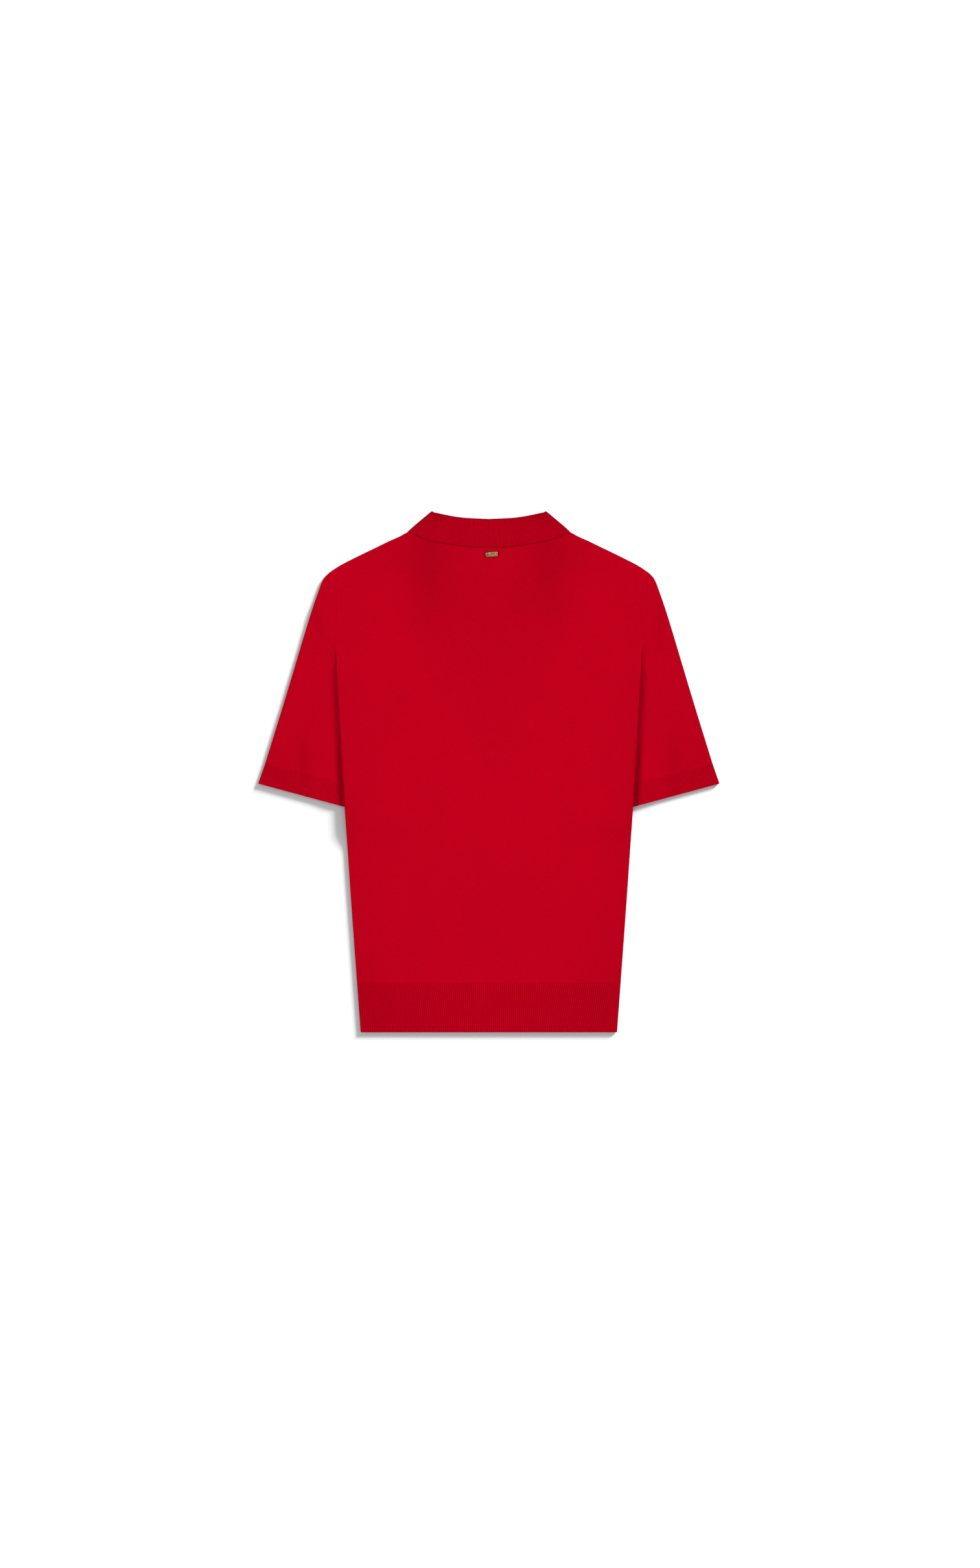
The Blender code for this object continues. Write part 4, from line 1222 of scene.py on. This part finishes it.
def make_hem(material, is_back):
    """Half of the welt, with ribs that run up and fade into the panel."""
    ys = end_rows(HEM_Y, HEM_RIB_TOP - JOIN_GAP / 2, HEM_ROW_PITCH)
    columns = HEM_RIBS * RIB_STEPS // 2

    def rib_place(y):
        """Ribs lean in towards the hem's lower edge on both sides of its centre."""
        climb = (y - HEM_Y) / HEM_RIB_HEIGHT - 0.5
        return lambda i, end: end * i / columns + between(HEM_RIB_LEANS, i / columns) * climb

    rows = both_halves([body_row(y, is_back, rib_place(y), columns) for y in ys])
    middle = len(rows[0]) // 2
    depth = RIB_RELIEF if is_back else UNDERSIDE_RIB_DEPTH

    def rib(j, i):
        across = abs(i - middle)
        on_turn = across >= columns
        form = 0 if on_turn else rib_form(across / RIB_STEPS)
        height = depth * (form if is_back else form - 1)
        # Painted shade on the turn, where there is no groove
        groove = WELT_TURN_SHADE if on_turn else 1 - form
        return height * fading_ends(ys[j] - HEM_Y, HEM_RIB_HEIGHT), groove

    def grain(j, i, p):
        return (i - middle) / RIB_STEPS * HEM_RIB_PITCH, p.y

    def thickness(j, i):
        return edge_roundness(ys[j] - HEM_Y)

    if not is_back:
        rows = [row[::-1] for row in rows]
    mesh = cloth(rows, relief=rib, grain=grain, thickness=thickness, dye_and_shade=painted_shade_of(HEM_PATCHES))
    side = "back" if is_back else "front"
    return add_piece(f"hem_{side}_knit", mesh, material, "rib", f"hem_rib_{side}")


def sleeve_end_inner():
    """The inner end of the seam between sleeve and cuff."""
    x = SLEEVE_END_INNER_X
    return Vector((x, line_y(SLEEVE_END, SLEEVE_END_SLOPE, x)))


def sleeve_patch():
    """Flat points of one layer of the sleeve: rows from the armhole down, columns from the
    outer fold in, inset so that the folds reach the outline. The folds' directions follow."""
    half_gap = SEAM_GAP / 2
    armhole = armhole_line()
    arm = [p + n * half_gap for p, n in zip(armhole, normals_of(armhole, Vector((1, 0))))]
    outer = sampled(SLEEVE_OUTER, SLEEVE_ROWS + 1)
    out_normals = normals_of(outer, Vector((1, 0.3)))
    out_normals[0] = shoulder_tip_normal()
    out = [p - n * FOLD_INSET for p, n in zip(outer, out_normals)]
    out[0] = arm[0] - out_normals[0] * FOLD_INSET
    under = sampled([armhole[-1], sleeve_end_inner()], SLEEVE_ROWS + 1)
    in_normals = normals_of(under, Vector((-1, 0)))
    under = [p - n * FOLD_INSET for p, n in zip(under, in_normals)]
    out[-1] = out[-1] + Vector((0, JOIN_GAP / 2))
    under[-1] = under[-1] + Vector((0, JOIN_GAP / 2))
    arm[0], arm[-1] = out[0], under[0]
    low = [out[-1].lerp(under[-1], i / (len(arm) - 1)) for i in range(len(arm))]
    return patch(arm, low, out, under), out_normals, in_normals


def tube_loop(flat, out_normal, in_normal):
    """One loop of a flattened tube: over the top from the outer fold in, and back below."""
    loop = [at(p, BACK_HEIGHT) for p in flat]
    middle = (BACK_HEIGHT + FRONT_HEIGHT) / 2
    turns = [math.pi * k / ARC_STEPS for k in range(1, ARC_STEPS)]
    for angle in turns:
        p = flat[-1] + in_normal * FOLD_RADIUS * math.sin(angle)
        loop.append(at(p, middle + FOLD_RADIUS * math.cos(angle)))
    loop += [at(p, FRONT_HEIGHT) for p in reversed(flat)]
    for angle in turns:
        p = flat[0] + out_normal * FOLD_RADIUS * math.sin(angle)
        loop.append(at(p, middle - FOLD_RADIUS * math.cos(angle)))
    return loop


def sleeve_grain(j, i, p):
    """The sleeve's wales run square to its cuff."""
    turn = math.atan(CUFF_SLOPE)
    return p.x * math.cos(turn) + p.y * math.sin(turn), p.y * math.cos(turn) - p.x * math.sin(turn)


def make_sleeves(material):
    loops = [tube_loop(row, o, n) for row, o, n in zip(*sleeve_patch())]
    upper = len(armhole_line())
    for loop in loops:
        for p in loop[:upper]:
            p.z += sleeve_drape(p.x, p.y)
    end = len(loops) - 1
    return pair("sleeve", "knit", material, loops, SLEEVE_PATCHES, grain=sleeve_grain, joined=(end,))


def pair(kind, slot, material, loops, patches, **form):
    """The right and the left piece of a kind, which are mirrored tubes."""
    def dye_and_shade(x, y):
        return painted_shade_of(patches)(x, y) + crease_painted_shade(x, y)

    pieces = []
    for side, mirrored in (("right", False), ("left", True)):
        mesh = cloth(loops, loop=True, mirrored=mirrored, dye_and_shade=dye_and_shade, **form)
        pieces.append(add_piece(f"{kind}_{side}_knit", mesh, material, slot, f"{kind}_{side}"))
    return pieces


def cuff_rows(columns):
    """Lines across the cuff from its seam to its edge, with their distance from each, and the
    folds' directions."""
    top_out, low_out, top_in = Vector(SLEEVE_END), Vector(CUFF_END), sleeve_end_inner()
    low_in = Vector((CUFF_INNER_X, line_y(CUFF_END, CUFF_SLOPE, CUFF_INNER_X)))
    out_normal = normals_of([top_out, low_out], Vector((1, 0)))[0]
    in_normal = normals_of([top_in, low_in], Vector((-1, 0)))[0]
    seam = Vector((0, JOIN_GAP / 2))
    top = (top_out - out_normal * FOLD_INSET - seam, top_in - in_normal * FOLD_INSET - seam)
    low = (low_out - out_normal * FOLD_INSET, low_in - in_normal * FOLD_INSET)
    length = (top_out - low_out).length
    runs = end_rows(0, length, CUFF_ROW_PITCH)
    rows = []
    for run in runs:
        a, b = (t.lerp(l, run / length) for t, l in zip(top, low))
        rows.append([a.lerp(b, cuff_place(i / columns, run / length)) for i in range(columns + 1)])
    return rows, runs, out_normal, in_normal


def cuff_place(share, run_share):
    """Where a rib stands across the cuff: ribs lean out near its fold and in near the crease."""
    return share + between(CUFF_RIB_LEANS, share) * (0.5 - run_share)


def make_cuffs(material):
    """Tubes with ribs all round, that stand up on the upper layer and are cut in below."""
    columns = RIB_STEPS * CUFF_RIBS
    rows, runs, out_normal, in_normal = cuff_rows(columns)
    loops = [tube_loop(row, out_normal, in_normal) for row in rows]
    length = runs[-1]
    for loop, run in zip(loops, runs):
        for p in loop[: columns + 1]:
            p.z += crease_puff(p.x, p.y) * (1 - CUFF_PUFF_LOSS * run / length)
    lower = columns + ARC_STEPS

    def rib(j, i):
        ends = fading_ends(runs[j], length)
        if i <= columns:
            form = rib_form(i / RIB_STEPS + 0.5)
            return RIB_RELIEF * ends * form, 1 - form
        if lower <= i <= lower + columns:
            form = rib_form((i - lower) / RIB_STEPS + 0.5)
            return UNDERSIDE_RIB_DEPTH * ends * (form - 1), 1 - form
        # Painted shade on the turns, where there are no grooves
        return 0, WELT_TURN_SHADE

    def grain(j, i, p):
        return (i / RIB_STEPS + 0.5) * pitch, -runs[j]

    def thickness(j, i):
        return edge_roundness(length - runs[j])

    pitch = (rows[0][0] - rows[0][-1]).length / CUFF_RIBS
    form = {"relief": rib, "grain": grain, "thickness": thickness}
    return pair("cuff", "rib", material, loops, CUFF_PATCHES, **form)


def collar_section(neck, top, edge, stand_z, fall_z, edge_drop):
    """Across the collar: up the stand, over the fold and down the fall, whose edge settles."""
    direction = ((top - neck).normalized() + (top - edge).normalized()).normalized()
    radius = abs(fall_z(edge) - stand_z) / 2
    centre = top - direction * (radius + HALF_WALL)
    fold_z = fall_z(centre)
    section = [at(neck.lerp(centre, step / STAND_STEPS), stand_z) for step in range(STAND_STEPS)]
    for k in range(COLLAR_ARC_STEPS + 1):
        angle = math.pi * k / COLLAR_ARC_STEPS
        p = centre + direction * radius * math.sin(angle)
        section.append(at(p, stand_z + (fold_z - stand_z) * (1 - math.cos(angle)) / 2))
    run = (edge - centre).length
    steps = [k / FALL_STEPS for k in range(1, FALL_STEPS)]
    for t in steps + [1 - d / run for d in reversed(FALL_EDGE_ROWS)]:
        p = centre.lerp(edge, t)
        drop = edge_drop * smooth((t - FALL_DROP_START) / (1 - FALL_DROP_START))
        section.append(at(p, fall_z(p) - drop))
    return section


def collar_half(is_back):
    """Sections of the right half of the collar, on the back from the centre to the side of
    the neck, and on the front from there to the centre."""
    count = COLLAR_RIBS * RIB_STEPS + 1
    runs = [k / (count - 1) for k in range(count)]
    if is_back:
        # Ribs run straight down at the centre, and fan out to meet the slope at the side.
        fan = COLLAR_EDGE_BACK[-1][0] / COLLAR_TOP[-1][0]
        neck_fan = COLLAR_EDGE_BACK[-1][0] / BACK_NECK[-1][0]
        neck = placed(BACK_NECK, [s * (neck_fan + (1 - neck_fan) * s) for s in runs])
        top = placed(COLLAR_TOP, [s * (fan + (1 - fan) * s) for s in runs])
        edge = placed(COLLAR_EDGE_BACK, runs)
    else:
        neck = placed(FRONT_NECK, runs)
        top, edge = placed(COLLAR_TOP_FRONT[::-1], runs), placed(COLLAR_EDGE_FRONT[::-1], runs)
    gap = SEAM_GAP / 2
    neck = [p + n * gap for p, n in zip(neck, normals_of(neck, Vector((0, 1))))]
    if not is_back:
        for k, s in enumerate(runs):
            neck[k].x += (COLLAR_END_X - SLIT_HALF_WIDTH) * (1 - smooth(s / LEAF_END_EASE))
    top_run = (top[-2] - top[-1]).normalized()
    sections = []
    for s, n, t, e in zip(runs, neck, top, edge):
        near_side = smooth((s - NEAR_SIDE_START) / (1 - NEAR_SIDE_START))
        n = n + (top[-1] - n).normalized() * NECK_CORNER_GAP * near_side
        inward = -collar_side_normal() * near_side
        t = t + top_run * TOP_INSET / -top_run.dot(collar_side_normal()) * near_side
        n, e = n + inward * STAND_INSET, e + inward * FALL_INSET
        stand_z = back_height(n.x, n.y) if is_back else front_height(n.x, n.y)

        def fall_z(p, stand_z=stand_z):
            if is_back:
                return max(back_height(p.x, p.y), stand_z) + COLLAR_LAYERS
            return FRONT_HEIGHT

        sections.append(collar_section(n, t, e, stand_z, fall_z, FALL_DROP if is_back else 0))
    return sections if is_back else sections[::-1]


@lru_cache(maxsize=None)
def collar_side_normal():
    """Outward across the straight edge between the collar's top and lower corners."""
    side = [Vector(COLLAR_TOP[-1]), Vector(COLLAR_EDGE_BACK[-1])]
    return normals_of(side, Vector((1, 0)))[0]


def collar_sections():
    """Sections of the right half of the collar, from the centre back round to the front."""
    back, front = collar_half(True), collar_half(False)
    outward = collar_side_normal().to_3d()
    turn = []
    for k in range(1, COLLAR_ARC_STEPS + 1):
        angle = math.pi * k / (COLLAR_ARC_STEPS + 1)
        share = (1 - math.cos(angle)) / 2
        section = []
        for b, f in zip(back[-1], front[0]):
            reach = abs(b.z - f.z) / 2 * math.sin(angle)
            section.append(b.lerp(f, share) + outward * reach)
        turn.append(section)
    return back + turn + front


def make_collar(material):
    half = collar_sections()
    whole = [[Vector((-p.x, p.y, p.z)) for p in s] for s in reversed(half[1:])] + half
    middle = len(half) - 1
    back_end = COLLAR_RIBS * RIB_STEPS
    front_start_at = back_end + COLLAR_ARC_STEPS + 1

    def phase(j):
        """Ribs along the half collar, with none on the turn between back and front."""
        along = abs(j - middle)
        return (min(along, back_end) + max(along - front_start_at, 0)) / RIB_STEPS

    def rib(j, i):
        form = rib_form(phase(j))
        on_turn = back_end < abs(j - middle) < front_start_at
        # Painted shade on the turn between back and front, where there is no groove
        return COLLAR_RIB_DEPTH * (form - 1), COLLAR_TURN_SHADE if on_turn else 1 - form

    def grain(j, i, p):
        return phase(j) * COLLAR_RIB_PITCH, -i * COLLAR_COLUMN_PITCH

    def thickness(j, i):
        columns = len(half[0])
        share = smooth((i / columns - FALL_TAPER_START) / (1 - FALL_TAPER_START))
        taper = 1 - (1 - FALL_EDGE_SHARE) * share
        if i >= columns - len(FALL_EDGE_ROWS):
            return edge_roundness(FALL_EDGE_ROWS[columns - 1 - i]) * taper
        return SEAM_THINNING if i == 0 or j in (0, 2 * middle) else taper

    mesh = cloth(whole, relief=rib, grain=grain, thickness=thickness, dye_and_shade=collar_painted_shade)
    return add_piece("collar_knit", mesh, material, "rib", "collar")


def make_placket(material):
    """Two bands, one over the other, each a wall as long as the slit."""
    pieces = []
    for side, z, bottom in (
        ("upper", UPPER_BAND_HEIGHT, UPPER_BAND_BOTTOM),
        ("under", UNDER_BAND_HEIGHT, UNDER_BAND_BOTTOM),
    ):
        xs = end_rows(-BAND_HALF_WIDTH, BAND_HALF_WIDTH, BAND_COLUMN_PITCH)
        ys = end_rows(bottom, BAND_TOP, BAND_ROW_PITCH)
        rows = [[Vector((x, y, z)) for x in xs] for y in ys]

        def thickness(j, i):
            along = min(ys[j] - ys[0], ys[-1] - ys[j])
            return edge_roundness(min(xs[i] - xs[0], xs[-1] - xs[i], along))

        mesh = cloth(rows, thickness=thickness)
        pieces.append(add_piece(f"placket_{side}_knit", mesh, material, "rib", f"placket_{side}"))
    return pieces


def tube_mesh(paths, radius, sides=6):
    """Round threads along paths of points, closed at their ends, in one mesh."""
    made = bmesh.new()
    for path in paths:
        points = [Vector(p) * MM for p in path]
        rings = []
        for k, p in enumerate(points):
            along = (points[min(k + 1, len(points) - 1)] - points[max(k - 1, 0)]).normalized()
            side = along.orthogonal().normalized()
            other = along.cross(side)
            thin = THREAD_END_SHARE if k in (0, len(points) - 1) else 1
            ring = []
            for s in range(sides):
                angle = 2 * math.pi * s / sides
                out = side * math.cos(angle) + other * math.sin(angle)
                ring.append(made.verts.new(p + out * radius * thin * MM))
            rings.append(ring)
        for a, b in zip(rings, rings[1:]):
            for s in range(sides):
                n = (s + 1) % sides
                made.faces.new((a[s], a[n], b[n], b[s]))
        made.faces.new(rings[0][::-1])
        made.faces.new(rings[-1])
    return mesh_of(made, "thread")


def stitch_paths(start, end, z, pitch=2.6, length=1.9, dip=0.25):
    """Short stitches from start to end on the underside at z, which dip into the cloth."""
    a, b = Vector((*start, 0)), Vector((*end, 0))
    count = int((b - a).length / pitch)
    along = (b - a).normalized()
    paths = []
    for k in range(count):
        first = a + along * (k + 0.5 - length / pitch / 2) * pitch
        path = []
        for t in (0, 0.25, 0.5, 0.75, 1):
            p = first + along * length * t
            path.append((p.x, p.y, z + dip * (2 * t - 1) ** 2))
        paths.append(path)
    return paths


def make_placket_stitches(material):
    """Topstitching round the upper band, and the bound ends of its buttonholes."""
    side, top = BAND_HALF_WIDTH - STITCH_INSET, BAND_TOP - STITCH_INSET
    low = UPPER_BAND_BOTTOM + STITCH_INSET
    z = UPPER_BAND_HEIGHT - HALF_WALL - STITCH_SINK
    paths = []
    for x in (-side, side):
        paths += stitch_paths((x, low), (x, top), z)
    paths += stitch_paths((-side, low), (side, low), z)
    half = BUTTONHOLE_HALF_WIDTH
    run = ((-half, STITCH_SINK), (-0.5, -STITCH_SINK), (0.5, -STITCH_SINK), (half, STITCH_SINK))
    for middle in BUTTON_YS:
        for turn in (-1, 1):
            for k in range(BUTTONHOLE_THREADS):
                y = middle + turn * (BUTTONHOLE_START + BUTTONHOLE_THREAD_PITCH * k)
                paths.append([(x, y, z + rise) for x, rise in run])
    return add_piece("placket_stitches", tube_mesh(paths, STITCH_RADIUS, 5), material, "knit")


def turned(profile):
    """A solid of revolution about Z from its section."""
    made = bmesh.new()
    verts = [made.verts.new((r * MM, 0, z * MM)) for r, z in profile]
    for a, b in zip(verts, verts[1:]):
        made.edges.new((a, b))
    bmesh.ops.spin(made, geom=made.verts[:] + made.edges[:], axis=(0, 0, 1), cent=(0, 0, 0),
                   steps=BUTTON_STEPS, angle=2 * math.pi)
    bmesh.ops.remove_doubles(made, verts=made.verts[:], dist=0.00002)
    bmesh.ops.recalc_face_normals(made, faces=made.faces[:])
    return mesh_of(made, "button")


def hole_drill():
    """Four pins, where a button's holes are."""
    drill = bmesh.new()
    radius, hole = BUTTON_HOLE_RADIUS * MM, BUTTON_HOLE_X * MM
    for sx in (-1, 1):
        for sy in (-1, 1):
            pin = bmesh.ops.create_cone(drill, cap_ends=True, segments=16, radius1=radius,
                                        radius2=radius, depth=3 * BUTTON_THICKNESS * MM)
            bmesh.ops.translate(drill, verts=pin["verts"], vec=(sx * hole, sy * hole, 0))
    return mesh_of(drill, "drill")


def button_thread_paths(y):
    """Two threads on each side of a button's middle, down one hole and up the next."""
    hole = BUTTON_HOLE_X
    half = ((hole, BUTTON_THICKNESS + 0.1), (hole, 0.5), (0.5, 0.32))
    run = [(-away, z) for away, z in half] + list(reversed(half))
    return [
        [(side * (hole + offset), y + away, z) for away, z in run]
        for side in (-1, 1)
        for offset in (-0.18, 0.18)
    ]


def make_buttons(material, thread):
    """Turned buttons with a dished face, a raised rim that lies on the surface and four holes."""
    pieces = []
    for number, y in enumerate(BUTTON_YS, 1):
        mesh = drilled(turned(BUTTON_PROFILE), hole_drill())
        mesh.transform(Matrix.Translation((0, y * MM, 0)))
        name = f"button_{number}"
        pieces.append(add_piece(f"{name}_resin", mesh, material, "button", name))
        mesh = tube_mesh(button_thread_paths(y), BUTTON_THREAD_RADIUS)
        pieces.append(add_piece(f"{name}_thread", mesh, thread, "knit"))
    return pieces


def as_mesh(shape):
    """The mesh of an object with its modifiers. The object is taken away."""
    bpy.context.view_layer.update()
    graph = bpy.context.evaluated_depsgraph_get()
    mesh = bpy.data.meshes.new_from_object(shape.evaluated_get(graph))
    bpy.data.objects.remove(shape)
    mesh.materials.clear()
    return mesh


def drilled(mesh, cutter_mesh):
    """The mesh with the cutter's volume taken away."""
    body, cutter = new_object("body", mesh), new_object("cutter", cutter_mesh)
    cut = body.modifiers.new("cut", "BOOLEAN")
    cut.operation = "DIFFERENCE"
    cut.solver = "EXACT"
    cut.object = cutter
    result = as_mesh(body)
    bpy.data.objects.remove(cutter)
    return result


def circle(centre, radius, steps):
    """The points of a circle about a point on the X axis."""
    turns = [2 * math.pi * k / steps for k in range(steps)]
    return [(centre + radius * math.cos(turn), radius * math.sin(turn)) for turn in turns]


def plate_outline():
    """A rectangle with rounded corners, whose arcs join up into one loop."""
    half, side_half = PLATE_LENGTH / 2 - PLATE_CORNER, PLATE_WIDTH / 2 - PLATE_CORNER
    outline = []
    for quarter, (across, along) in enumerate(((1, -1), (1, 1), (-1, 1), (-1, -1))):
        for k in range(PLATE_CORNER_STEPS + 1):
            turn = math.pi / 2 * (quarter - 1 + k / PLATE_CORNER_STEPS)
            x = across * half + PLATE_CORNER * math.cos(turn)
            outline.append((x, along * side_half + PLATE_CORNER * math.sin(turn)))
    return outline


def make_plate(material, thread):
    """A plain plate with round corners, bevelled edges and a sewing hole near each end."""
    low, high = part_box("back_plate")
    x, y = PLATE_CENTRE
    made = bpy.data.curves.new("plate", "CURVE")
    made.dimensions = "2D"
    made.fill_mode = "BOTH"
    made.extrude = (PLATE_THICKNESS / 2 - PLATE_BEVEL) * MM
    made.bevel_depth = PLATE_BEVEL * MM
    made.bevel_resolution = 3
    made.offset = -PLATE_BEVEL * MM
    holes = [circle(side * PLATE_HOLE_X, PLATE_HOLE_RADIUS, 24) for side in (-1, 1)]
    for loop in [plate_outline(), *holes]:
        spline = made.splines.new("POLY")
        spline.points.add(len(loop) - 1)
        spline.use_cyclic_u = True
        for point, (px, py) in zip(spline.points, loop):
            point.co = (px * MM, py * MM, 0, 1)
    welded = bmesh.new()
    welded.from_mesh(as_mesh(new_object("plate_shape", made)))
    bmesh.ops.remove_doubles(welded, verts=welded.verts[:], dist=0.000005)
    mesh = mesh_of(welded, "plate")
    place = Matrix.Translation((x * MM, y * MM, (low.z + high.z) / 2))
    place @= Matrix.Rotation(PLATE_TURN, 4, "Z")
    mesh.transform(place)
    plate = add_piece("plate_gold", mesh, material, "plate", "back_plate")
    end_z = -PLATE_THICKNESS / 2 - 0.2
    route = ((PLATE_HOLE_X - 0.1, 0.1), (PLATE_HOLE_X, -0.2), (PLATE_HOLE_X, end_z))
    paths = [
        [tuple((place @ Vector((side * px * MM, 0, pz * MM))) / MM) for px, pz in route]
        for side in (-1, 1)
    ]
    mesh = tube_mesh(paths, PLATE_THREAD_RADIUS, 8)
    return plate, add_piece("plate_thread", mesh, thread, "knit")


# Stage


def make_stage():
    """A wide sheet of paper, just below the garment."""
    mesh = bpy.data.meshes.new("floor")
    reach, z = 6.0, -0.0001
    corners = [(-reach, -reach, z), (reach, -reach, z), (reach, reach, z), (-reach, reach, z)]
    mesh.from_pydata(corners, [], [(0, 1, 2, 3)])
    mesh.materials.append(floor_material())
    floor = new_object("floor", mesh)
    floor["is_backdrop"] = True


# Soft lights: where each comes from, in degrees, how wide it is, its share on level ground, and
# whether it lights the floor or the garment. The photo's garment is lit evenly from both sides,
# while its shadow on the ground falls to the lower left.
Light = namedtuple("Light", "name azimuth elevation width level on_floor")
LIGHTS = (
    Light(name="floor_key", azimuth=45, elevation=15.5, width=16, level=0.7, on_floor=True),
    Light(name="side_right", azimuth=12, elevation=34, width=36, level=0.4, on_floor=False),
    Light(name="side_left", azimuth=168, elevation=34, width=36, level=0.4, on_floor=False),
)
FILL = 0.5


def make_lights():
    """Soft suns linked to the floor or to the garment, and an even fill."""
    lit = {}
    for on_floor, name in ((True, "lit_floor"), (False, "lit_garment")):
        lit[on_floor] = bpy.data.collections.new(name)
    for piece in bpy.context.scene.objects:
        if piece.type == "MESH" and not piece.hide_render:
            lit[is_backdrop(piece)].objects.link(piece)
    for light in LIGHTS:
        sun = bpy.data.lights.new(light.name, "SUN")
        sun.energy = math.pi * light.level / math.sin(math.radians(light.elevation))
        sun.angle = math.radians(light.width)
        lamp = new_object(light.name, sun)
        turn = light.azimuth + 90
        lamp.rotation_euler = (math.radians(90 - light.elevation), 0, math.radians(turn))
        lamp.light_linking.receiver_collection = lit[light.on_floor]
    world = bpy.data.worlds.new("studio")
    bpy.context.scene.world = world
    world.use_nodes = True
    background = world.node_tree.nodes["Background"]
    background.inputs["Color"].default_value = (1, 1, 1, 1)
    background.inputs["Strength"].default_value = FILL
    bpy.context.scene.view_settings.view_transform = "Standard"


def make_camera():
    """Straight above, so that one pixel of the photo is 0.8 mm."""
    pixel = 0.8
    image_width, image_height = 1512, 2420
    garment_x, garment_y = 754.25, 1192
    camera = bpy.data.cameras.new("camera")
    camera.lens = 100.0
    camera.sensor_width = 36.0
    camera.clip_end = 50
    eye = new_object("camera", camera)
    height = image_height * pixel * camera.lens / camera.sensor_width
    x = (image_width / 2 - garment_x) * pixel
    y = (garment_y - image_height / 2) * pixel
    eye.location = (x * MM, y * MM, (height + BACK_HEIGHT) * MM)
    bpy.context.scene.camera = eye


make_camera()
make_stage()

knit = knit_material("knit_red", WALE, COURSE)
back_knit = knit_material("knit_red_back", WALE, COURSE, with_plate_shadow=True)
welt = knit_material("rib_red", HEM_RIB_PITCH / 2, COURSE, WELT_SHADE)
fine_rib = knit_material("collar_red", COLLAR_RIB_PITCH / 2, COLLAR_COURSE, COLLAR_SHADE)
thread = thread_material()

back = make_back(back_knit)
front = make_front(knit)
hem_back = make_hem(welt, True)
hem_front = make_hem(welt, False)
sleeves = make_sleeves(knit)
cuffs = make_cuffs(welt)
collar = make_collar(fine_rib)
upper_band, under_band = make_placket(fine_rib)
stitches = make_placket_stitches(thread)
fastenings = make_buttons(button_material(), thread)
plate_pieces = make_plate(metal_material(), thread)
make_lights()
